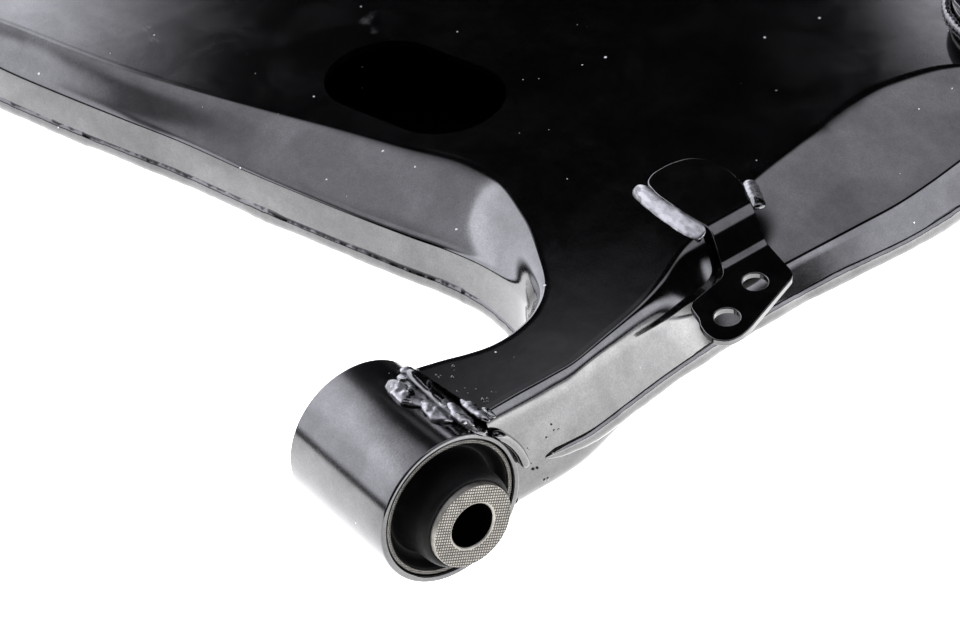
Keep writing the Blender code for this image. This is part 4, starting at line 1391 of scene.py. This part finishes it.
@dataclass(frozen=True)
class RearBush(Assembly):
    """Upright ring, its welds, the can, the slotted rubber and the sleeve.

    Attributes are sizes in millimetres and angles in degrees.
    """

    ring_radius: float = 33.0
    ring_bore: float = 30.4
    low: float = -20.0
    high: float = 29.0
    sleeve_radius: float = 12.0
    sleeve_low: float = -25.0
    sleeve_high: float = 34.0
    bolt_radius: float = 7.2
    pad_half_angle: float = 42.0
    can_section: tuple = (28.9, 30.1, -18.0, 27.0)
    rubber_gap: float = 0.12
    bead_radius: float = 34.9
    bead_half_angle: float = 52.0

    def ring(self) -> None:
        """Welded ring and the thin can in it."""
        centre = self.bench.datum.rear
        profile = hoop(self.ring_bore, self.ring_radius, self.low, self.high)
        self.bench.make(turned(rounded(profile, 0.6, 4), centre), "rear_ring", BlackCoat("black_coat_ring"),
                        node="rear_bush_housing")
        finish = TurnedSteel("rear_can_steel", self.bench.world(centre), tint=(0.05, 0.047, 0.043),
                             shine=0.35)
        self.bench.make(turned(rounded(hoop(*self.can_section), 0.4, 3), centre), "rear_can", finish,
                        node="rear_bush_outer_can")

    def welds(self) -> None:
        """Beads that join the ring to the upper and the lower shell."""
        rows = (("rear_bead_upper", "rear_housing_weld_upper", 26.0, 1.0, 31),
                ("rear_bead_lower", "rear_housing_weld_lower", -7.0, -1.0, 32))
        angle = np.radians(np.linspace(-self.bead_half_angle, self.bead_half_angle, 120))
        for name, node, level, side, seed in rows:
            surface = rim_bead(self.bench.datum.rear, self.bead_radius, level, angle, side,
                               (1.9, 0.3, 0.9), 0.2, seed, 0.12)
            self.bench.make(surface, name, WeldCoat("coat_on_" + name, 0.4), node=node, smooth_angle=60)

    def pad(self, centre: np.ndarray, middle: float) -> Surface:
        """Rubber bridge between sleeve and can: a sector whose side is a rounded block.

        The outline (r, z) is carried over the angles round the middle, the block's height
        sinks a little towards both flanks by 1 - 0.12 u^2, and each flank is closed at its heart.

        Args:
            centre: plan centre of the bush.
            middle: angle of the bridge's middle in degrees.

        Returns:
            The closed surface.
        """
        corners = ((14.9, -18.5), (20.0, -15.2), (27.9, -15.6), (27.9, 24.2), (20.0, 23.8), (14.9, 27.6))
        outline = rounded(np.array(corners), 2.0, 4)
        u = np.concatenate([[-1.0], np.linspace(-1, 1, 41), [1.0]])
        swell = np.concatenate([[0.0], 1 - 0.12 * np.linspace(-1, 1, 41) ** 2, [0.0]])
        heart = np.array([21.5, 4.5])
        angle = np.radians(middle + self.pad_half_angle * u)[:, None]
        share = np.column_stack([np.sign(swell), swell])
        section = heart + (outline - heart)[None] * share[:, None]
        radius, height = section[..., 0], section[..., 1]
        grid = np.stack([radius * np.cos(angle), radius * np.sin(angle), height], axis=-1) + centre
        return Surface().add_grid(grid, wrap_columns=True)

    def rubber(self) -> None:
        """Collar on the sleeve, lining in the can and the two bridges between them."""
        centre = self.bench.datum.rear
        hole = self.sleeve_radius + self.rubber_gap
        collar = np.array([(hole, -21.8), (14.6, -21.2), (15.7, -17.5), (16.3, 4.5), (15.7, 26.5),
                           (14.6, 30.2), (hole, 30.8)])
        self.bench.make(turned(rounded(collar, 1.5, 4), centre), "rear_rubber_collar",
                        Rubber("rear_collar_rubber"), "rear_sleeve", "rear_bush_rubber", 50)
        lining = np.array([(28.75, -16.4), (28.75, 25.4), (27.2, 24.9), (25.4, 22.0), (25.0, 4.5),
                           (25.4, -13.0), (27.2, -15.9)])
        self.bench.make(turned(rounded(lining, 1.2, 4), centre), "rear_rubber_lining",
                        Rubber("rear_lining_rubber"), smooth_angle=50)
        for name, middle in (("rear_rubber_bridge_left", 90.0), ("rear_rubber_bridge_right", -90.0)):
            finish = Rubber(name + "_rubber")
            piece = self.bench.make(self.pad(centre, middle), name, finish, "", smooth_angle=50)
            side = np.array([0.0, math.copysign(1.0, middle), 0.0])
            self.bench.world(centre + side * 26)
            self.bench.world(centre + side * 16)
            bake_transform(piece)

    def sleeve(self) -> None:
        """Upright inner sleeve with a chamfered bore."""
        centre = self.bench.datum.rear
        profile = chamfered(self.bolt_radius, self.sleeve_radius, self.sleeve_low, self.sleeve_high)
        surface = turned(rounded(profile, 0.35, 3), centre)
        finish = KnurledSteel("rear_sleeve_steel", self.bench.world(centre), tint=(0.2, 0.19, 0.172),
                              shine=0.4)
        self.bench.make(surface, "rear_sleeve_tube", finish, "rear_sleeve", "rear_bush_inner_sleeve")

    def build(self) -> None:
        """Make every piece of the rear bush."""
        self.ring()
        self.welds()
        self.rubber()
        self.sleeve()


# ---------------- line bracket


@dataclass(frozen=True)
class LineBracket(Assembly):
    """Folded strap with two clip holes, welded to the top.

    The path is the side view of its upper face, and the outlines are plan views.
    """

    sheet: float = 2.2
    path: tuple = ((-36.0, 27.55), (3.0, 27.55), (11.6, 19.6), (44.0, 16.8))
    bends: tuple = (0.0, 3.2, 1.5, 0.0)
    base: tuple = (
        (3.0, 119.4), (-10.0, 118.6), (-24.0, 118.9), (-31.0, 120.6), (-33.4, 125.0), (-33.6, 132.0),
        (-31.6, 138.4), (-26.0, 142.2), (-17.0, 143.2), (-8.0, 141.6), (-2.0, 138.2), (3.0, 136.2),
    )
    tongue: tuple = (
        (11.9, 133.4), (27.6, 130.6), (29.9, 128.6), (39.0, 104.0), (39.9, 99.6), (39.2, 95.6),
        (36.2, 92.9), (31.6, 92.6), (27.6, 93.8), (25.6, 95.2), (18.4, 97.0), (15.2, 113.0), (11.9, 115.8),
    )
    holes: tuple = ((23.6, 118.9), (30.4, 102.2))
    hole_radius: float = 4.0
    mesh_step: float = 0.9

    def side_view(self) -> tuple[np.ndarray, np.ndarray]:
        """Rounded path and the distance along it at each of its points."""
        line = rounded(np.array(self.path), np.array(self.bends)[:, None], 10, closed=False)
        length = np.concatenate([[0.0], np.cumsum(np.linalg.norm(np.diff(line, axis=0), axis=1))])
        return line, length

    def blank(self, line: np.ndarray, length: np.ndarray) -> Surface:
        """Flat blank with its holes, folded: each point moves from its length to the path's x and z.

        Args:
            line: rounded side view.
            length: distance along it.

        Returns:
            The open folded skin.
        """
        def unrolled(plan: np.ndarray) -> np.ndarray:
            """Plan points with x replaced by the distance along the path."""
            return np.column_stack([np.interp(plan[:, 0], line[:, 0], length), plan[:, 1]])

        outline = rounded(np.array(self.base + self.tongue), 2.4, 5)
        holes = [unrolled(circle(place, self.hole_radius, 40)) for place in self.holes]
        flat = unrolled(outline)
        step = np.linalg.norm(np.roll(flat, -1, axis=0) - flat, axis=1)
        pieces = np.maximum(1, np.ceil(step / self.mesh_step)).astype(int)
        start = np.repeat(flat, pieces, axis=0)
        end = np.repeat(np.roll(flat, -1, axis=0), pieces, axis=0)
        order = np.arange(len(start)) - np.repeat(np.cumsum(pieces) - pieces, pieces)
        dense = start + (end - start) * (order / np.repeat(pieces, pieces))[:, None]
        points, faces = plate(dense, holes, self.mesh_step)
        folded = np.column_stack([np.interp(points[:, 0], length, line[:, 0]), points[:, 1],
                                  np.interp(points[:, 0], length, line[:, 1])])
        return Surface().add(folded, faces)

    def build(self) -> None:
        """Make the bracket and its welds, each of which runs nearly along one edge of the base."""
        line, length = self.side_view()
        finish = BlackCoat("black_coat_strap", 0.003, 0.06, 0.8)
        piece = self.bench.make(self.blank(line, length), "line_strap", finish, node="line_bracket")
        soften(thicken(face_towards(piece, 1.0), self.sheet), 0.55, 40, 3)
        s = np.linspace(0, 1, 80)
        path = np.column_stack([-33.0 + 35.6 * s, 117.4 - 1.3 * np.sin(s * np.pi * 0.8), np.full(80, 26.1)])
        width = 3.0 + 0.4 * smooth_step(s) + 0.25 * value_noise(path, 9.0, 41)
        height = 0.95 + 0.1 * value_noise(path, 5.0, 42)
        surface = bead(path, (0.0, -0.86, -0.51), (0.0, -0.51, 0.86), width, height, 0.12, 43,
                       sides=24, cell=4.0)
        self.bench.make(surface, "strap_bead_inboard", WeldCoat("coat_on_inboard_bead", 0.8, 0.43, 0.35),
                        node="bracket_weld_inboard", smooth_angle=80)
        path = np.column_stack([-9.5 + 14 * s, 144.3 - 6.6 * s, np.full(80, 26.4)])
        width = 2.6 + 0.6 * value_noise(path, 5.0, 51)
        surface = bead(path, (0.42, 0.9, 0.0), UP, width, width * 0.6, 0.15, 53, sides=20, cell=3.6)
        self.bench.make(surface, "strap_bead_outboard", WeldCoat("coat_on_outboard_bead", 0.7),
                        node="bracket_weld_outboard", smooth_angle=60)


# ---------------- ball joint


@dataclass(frozen=True)
class BallJoint(Assembly):
    """Carrier ring, housing, seat, boot, clips and the threaded stud.

    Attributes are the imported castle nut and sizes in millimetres, of which the pole is the
    tiny radius at which a closed profile meets the axis.
    """

    nut: bpy.types.Object
    ball_level: float = 8.0
    ball_radius: float = 14.0
    thread_radius: float = 7.0
    thread_pitch: float = 1.5
    thread_low: float = 74.0
    thread_high: float = 91.6
    pin_level: float = 85.0
    seat_gap: float = 0.3
    seat_mouth: float = 7.4
    pole: float = 0.001
    carrier_section: tuple = (24.4, 27.0, -20.0, 28.6)
    low_clip: tuple = (26.85, 28.0, 32.2, 33.9)
    high_clip: tuple = (10.8, 12.0, 48.6, 50.2)
    bead_radius: float = 28.8
    ring_radius: float = 25.3
    ring_level: float = 29.95
    wire: float = 0.62

    def steel(self, name: str, shine: float = 0.3, tint: tuple = (0.14, 0.137, 0.13)) -> TurnedSteel:
        """Steel whose lathe rings run round the joint's axis."""
        return TurnedSteel(name, self.bench.world(self.bench.datum.ball), Axis.UPRIGHT, tint, shine)

    def ring(self, name: str, node: str, corners: list | np.ndarray, radius: float, finish: object,
             body: str = "arm") -> None:
        """Turned ring from its corner list.

        Args:
            name: name of the piece.
            node: the node it stands for.
            corners: (radius, height) corners of its section.
            radius: rounding of the corners.
            finish: its finish.
            body: the body it moves with.
        """
        surface = turned(rounded(np.array(corners, float), radius, 4), self.bench.datum.ball)
        self.bench.make(surface, name, finish, body, node)

    def carrier(self) -> None:
        """Welded carrier ring with its two beads."""
        self.ring("joint_carrier", "ball_joint_carrier", hoop(*self.carrier_section), 0.6,
                  BlackCoat("black_coat_carrier"))
        for name, node, level, seed in (("carrier_bead_upper", "carrier_weld_upper", 25.9, 61),
                                        ("carrier_bead_lower", "carrier_weld_lower", -6.9, 62)):
            surface = rim_bead(self.bench.datum.ball, self.bead_radius, level,
                               np.linspace(0, 2 * np.pi, 220), 1.0, (1.7, 0.25, 0.85), 0.16, seed, 0.14)
            self.bench.make(surface, name, WeldCoat("coat_on_" + name, 0.4), node=node, smooth_angle=60)

    def housing(self) -> None:
        """Forged housing, cap, seat and locking ring."""
        self.ring("joint_housing", "ball_joint_housing",
                  [(20.0, -25), (29.0, -25), (29.0, -20.3), (24.1, -20.3), (24.1, 28.9), (22.7, 28.9),
                   (22.7, 31.0), (24.1, 31.0), (24.1, 35.0), (20.9, 35.0), (14.4, 20.0), (13.6, 17.0),
                   (17.8, 16.0), (17.8, -11.0), (20.0, -11.0)], 0.5,
                  self.steel("housing_steel", 0.34, (0.1, 0.097, 0.093)))
        self.ring("joint_cap", "ball_joint_cap",
                  [(self.pole, -13.6), (12.0, -13.6), (14.0, -15.2), (19.7, -15.2), (19.7, -11.3),
                   (14.5, -11.3), (12.5, -10.2), (self.pole, -10.2)], 0.5, self.steel("cap_steel"))
        hollow = self.ball_radius + self.seat_gap
        angle = np.linspace(math.asin(self.seat_mouth / hollow), -math.radians(62), 30)
        cup = np.column_stack([hollow * np.cos(angle), self.ball_level + hollow * np.sin(angle)])
        seat = np.vstack([[(17.5, -9.8), (17.5, 15.7), (15.0, 16.3)], cup, [(cup[-1, 0], -9.8)]])
        self.bench.make(turned(seat, self.bench.datum.ball), "joint_seat", MouldedPlastic("seat_plastic"),
                        node="ball_joint_seat")
        outward = around(np.radians(np.linspace(18, 342, 150)))
        spine = self.bench.datum.ball + self.ring_radius * outward + self.ring_level * UP
        self.bench.make(bead(spine, outward, UP, 1.9, 0.75, 0.0, 1, sides=12), "joint_snap_ring",
                        self.steel("snap_ring_steel", 0.28), node="ball_joint_snap_ring")

    def boot(self) -> None:
        """Bellows between the housing's collar and the stud, and its two rings."""
        outline = np.array([
            (24.3, 31.3), (26.6, 31.3), (26.6, 35.0), (28.6, 36.6), (29.6, 39.4), (28.8, 42.0),
            (25.6, 43.6), (21.0, 44.2), (18.6, 45.8), (14.2, 46.0), (11.6, 46.8), (10.6, 48.0),
            (10.6, 51.4), (10.1, 52.0), (8.9, 52.0), (8.9, 46.3), (11.2, 45.0), (17.8, 44.0),
            (20.4, 42.5), (25.0, 41.9), (27.3, 40.4), (27.6, 38.6), (26.4, 36.9), (24.3, 35.4),
        ])
        ball = self.bench.datum.ball
        piece = self.bench.make(turned(rounded(outline, 1.4, 4), ball), "bellows",
                                Rubber("bellows_rubber", 0.7), "", "dust_boot", 50)
        self.bench.world(ball + UP * 35.0)
        self.bench.world(ball + UP * 47.5)
        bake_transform(piece)
        bright = (0.2, 0.2, 0.2)
        self.ring("boot_clip_low", "boot_lower_clip", hoop(*self.low_clip), 0.35,
                  self.steel("low_clip_steel", 0.22, bright))
        self.ring("boot_clip_high", "boot_upper_ring", hoop(*self.high_clip), 0.4,
                  self.steel("high_clip_steel", 0.22, bright), "boot_ring")

    def stud(self) -> None:
        """Ball, neck, taper and thread.

        Along the thread the radius is R - 0.6 pitch |frac(z/pitch - a/2pi) - 0.5|, which winds
        a V groove once per pitch; it fades in and out over one pitch at each end.
        """
        rows, steps = 240, 96
        arc = np.linspace(-math.radians(65), math.acos(8.5 / self.ball_radius), 40)
        ball = np.array([0.0, self.ball_level]) + self.ball_radius * around(arc)[:, :2]
        shank = ((8.5, 30.0), (8.5, 52.6), (9.2, 54.4), (9.2, 55.2), (7.6, 72.0), (7.6, 73.0), (6.9, 73.9))
        plain = rounded(np.array(shank), 0.6, 4, closed=False)
        level = np.linspace(self.thread_low, self.thread_high, rows)
        thread = np.column_stack([np.full(rows, self.thread_radius), level])
        tip = ((6.2, 92.5), (self.pole, 92.5))
        profile = np.vstack([[(self.pole, ball[0, 1])], ball, plain, thread, tip])
        first = 1 + len(ball) + len(plain)
        angle = np.linspace(0, 2 * np.pi, steps, endpoint=False)[:, None]
        radius = np.broadcast_to(profile[None, :, 0], (steps, len(profile))).copy()
        turn = level[None] / self.thread_pitch - angle / (2 * np.pi)
        fade = smooth_step((level - self.thread_low) / self.thread_pitch)
        fade = fade * smooth_step((self.thread_high - level) / self.thread_pitch)
        depth = 0.6 * self.thread_pitch * np.abs((turn % 1.0) - 0.5) * fade
        radius[:, first:first + rows] = self.thread_radius - depth
        height = np.broadcast_to(profile[None, :, 1], radius.shape)
        grid = np.stack([radius * np.cos(angle), radius * np.sin(angle), height], axis=-1)
        surface = Surface().add_grid(grid + self.bench.datum.ball, wrap_rows=True)
        self.bench.make(surface, "threaded_stud", self.steel("stud_steel", 0.26), "stud", "ball_stud", 40)

    def pin(self) -> None:
        """Split pin: a hairpin of half-round wire with an eye and two bent legs."""
        half = np.array([(12.5, 0.55), (0.0, 0.45), (-13.2, 0.9), (-14.6, 1.5)])
        plan = np.vstack([half, [(-15.9, 0.0)], half[::-1] * np.array([1, -1])])
        stations = np.column_stack([plan, np.full(len(plan), self.pin_level)])
        path = catmull_rom(stations, 14) + self.bench.datum.ball
        tangent = np.gradient(path, axis=0)
        tangent /= np.linalg.norm(tangent, axis=1, keepdims=True)
        surface = bead(path, np.cross(UP, tangent), UP, self.wire, self.wire * 1.9, 0.0, 1, sides=10)
        finish = self.steel("pin_steel", 0.2, (0.22, 0.215, 0.2))
        self.bench.make(surface, "split_pin", finish, "stud", "cotter_pin", 60)

    def plated_nut(self) -> None:
        """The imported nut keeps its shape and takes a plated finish."""
        finish = self.steel("nut_zinc", 0.24, (0.2, 0.188, 0.145)).material()
        for place in self.nut.material_slots:
            place.material = finish
        LOG.info("castle_nut: dressed")

    def build(self) -> None:
        """Make every piece of the ball joint."""
        self.carrier()
        self.housing()
        self.boot()
        self.stud()
        self.pin()
        self.plated_nut()


# ---------------- studio


@dataclass(frozen=True)
class Studio(Assembly):
    """Bright pale floor, soft boxes, a dark room and the camera.

    Attributes:
        eye: camera's place in millimetres from the front bush's centre.
        right: the picture's direction to the right.
        upward: the picture's upward direction.
        lens: focal length in millimetres on a 36 mm sensor.
        floor_light: radiance of the floor.
        floor_half: half its side in metres.
        room_light: radiance of the dark room.
        glows: azimuth, elevation, inner and outer angle in degrees, and radiance of each glow.
        panels: corners as azimuth and elevation, softness in degrees, and radiance of each panel.
    """

    eye: tuple = (709.2, -386.1, 672.1)
    right: tuple = (0.5856, 0.801, -0.124)
    upward: tuple = (-0.4381, 0.4415, 0.783)
    lens: float = 131.25
    floor_light: float = 2.5
    floor_half: float = 2.2
    room_light: float = 0.004
    glows: tuple = (
        (147.5, 41, 2.2, 4.0, 0.42), (137.5, 32, 1.8, 3.1, 2.9), (212, 54, 6, 32, 1.6),
        (96, 66, 19, 27, 1.35), (244, 32, 5, 17, 0.45), (165, 78, 3, 14, 1.4), (160.5, 28, 3, 7.5, 1.6),
    )
    panels: tuple = (
        (((138.7, -3), (248, 7), (240, 24), (207, 44), (167.5, 44)), 2.8, 3.1),
        (((-15, 3), (60, 3), (55, 30), (-10, 30)), 3.0, 3.2),
    )

    def camera(self) -> None:
        """Place the camera on its three axes."""
        right = Vector(self.right).normalized()
        upward = (Vector(self.upward) - right * right.dot(Vector(self.upward))).normalized()
        back = right.cross(upward)
        matrix = Matrix((right, upward, back)).transposed().to_4x4()
        matrix.translation = Vector(self.bench.world(np.array(self.eye)))
        data = bpy.data.cameras.new("camera")
        data.lens = self.lens
        data.sensor_width = 36.0
        data.clip_start = 0.02
        camera = bpy.data.objects.new("camera", data)
        camera.matrix_world = matrix
        bpy.context.scene.collection.objects.link(camera)
        bpy.context.scene.camera = camera

    def floor(self) -> None:
        """Glowing white floor, brighter towards +X, under the lowest point of the arm."""
        half = self.floor_half / MM
        low = -float(self.bench.datum.shift[2]) / MM - 0.4
        side = np.linspace(-half, half, 25)
        u, v = np.meshgrid(side, side, indexing="ij")
        surface = Surface().add_grid(np.stack([u - 100, v + 100, np.full_like(u, low)], axis=-1))
        piece = face_towards(surface.to_object("floor", self.bench.datum.shift), 1.0)
        n = Nodes("floor_white")
        n.set(Base_Color=(0.9, 0.9, 0.9, 1.0), Roughness=0.9)
        n.shader.inputs["Emission Color"].default_value = (1.0, 1.0, 1.0, 1.0)
        x, y, _ = n.split(n.place)
        glow = n.span(n.plus(x, n.times(y, 0.2)), 0.1, 0.45, self.floor_light, 2.5 * self.floor_light)
        away = n.length(n.plus(x, 0.45), y)
        n.feed("Emission Strength", n.times(glow, n.span(away, 0.95, 1.35, 1.0, 0.12)))
        piece.data.materials.append(n.material)

    @staticmethod
    def towards(azimuth: float, elevation: float) -> Vector:
        """Unit vector of an azimuth and an elevation in degrees."""
        level = math.cos(math.radians(elevation))
        turn = math.radians(azimuth)
        return Vector((level * math.cos(turn), level * math.sin(turn), math.sin(math.radians(elevation))))

    @staticmethod
    def fade(n: Nodes, pole: Vector, low: float, high: float, top: float) -> Socket:
        """Ease from 0 to top while the direction's dot product with the pole goes from low to high."""
        dot = n.tree.nodes.new("ShaderNodeVectorMath")
        dot.operation = "DOT_PRODUCT"
        n.tree.links.new(n.direction, dot.inputs[0])
        dot.inputs[1].default_value = pole
        return n.span(dot.outputs["Value"], low, high, 0.0, top)

    def room(self) -> None:
        """Dark room with soft round glows and soft-edged panels.

        A glow is bright inside one angle from its middle and fades out at another. A panel is
        the product of one fade for each side, whose pole is the cross product of the side's
        two corner directions.
        """
        world = bpy.data.worlds.new("room")
        world.use_nodes = True
        n = Nodes.of_tree(world.node_tree)
        total = self.room_light
        for azimuth, elevation, inner, outer, radiance in self.glows:
            pole = self.towards(azimuth, elevation)
            low, high = math.cos(math.radians(outer)), math.cos(math.radians(inner))
            total = n.plus(self.fade(n, pole, low, high, radiance), total)
        for corners, soft, radiance in self.panels:
            marks = [self.towards(*corner) for corner in corners]
            half = math.sin(math.radians(soft))
            poles = [first.cross(second).normalized() for first, second in zip(marks, marks[1:] + marks[:1])]
            sides = [self.fade(n, pole, -half, half, 1.0) for pole in poles]
            total = n.plus(n.times(*sides, radiance), total)
        back = world.node_tree.nodes["Background"]
        n.put(back.inputs["Strength"], total)
        back.inputs["Color"].default_value = (0.985, 0.99, 1.09, 1.0)
        bpy.context.scene.world = world

    def build(self) -> None:
        """Set the studio up."""
        self.camera()
        self.floor()
        self.room()
        bpy.context.scene.view_settings.view_transform = "Standard"


def main() -> None:
    """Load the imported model, dress it and set up the studio."""
    logging.basicConfig(level=logging.INFO, format="%(message)s")
    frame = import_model()
    bench = Bench(Datum.read())
    rim = Rim()
    parts = (PressedShells(bench, rim), SeamWelds(bench, rim), FrontBush(bench), RearBush(bench),
             LineBracket(bench), BallJoint(bench, frame["nodes"]["castle_nut"]), Studio(bench))
    for part in parts:
        part.build()
    LOG.info("size written")


if __name__ == "__main__":
    main()
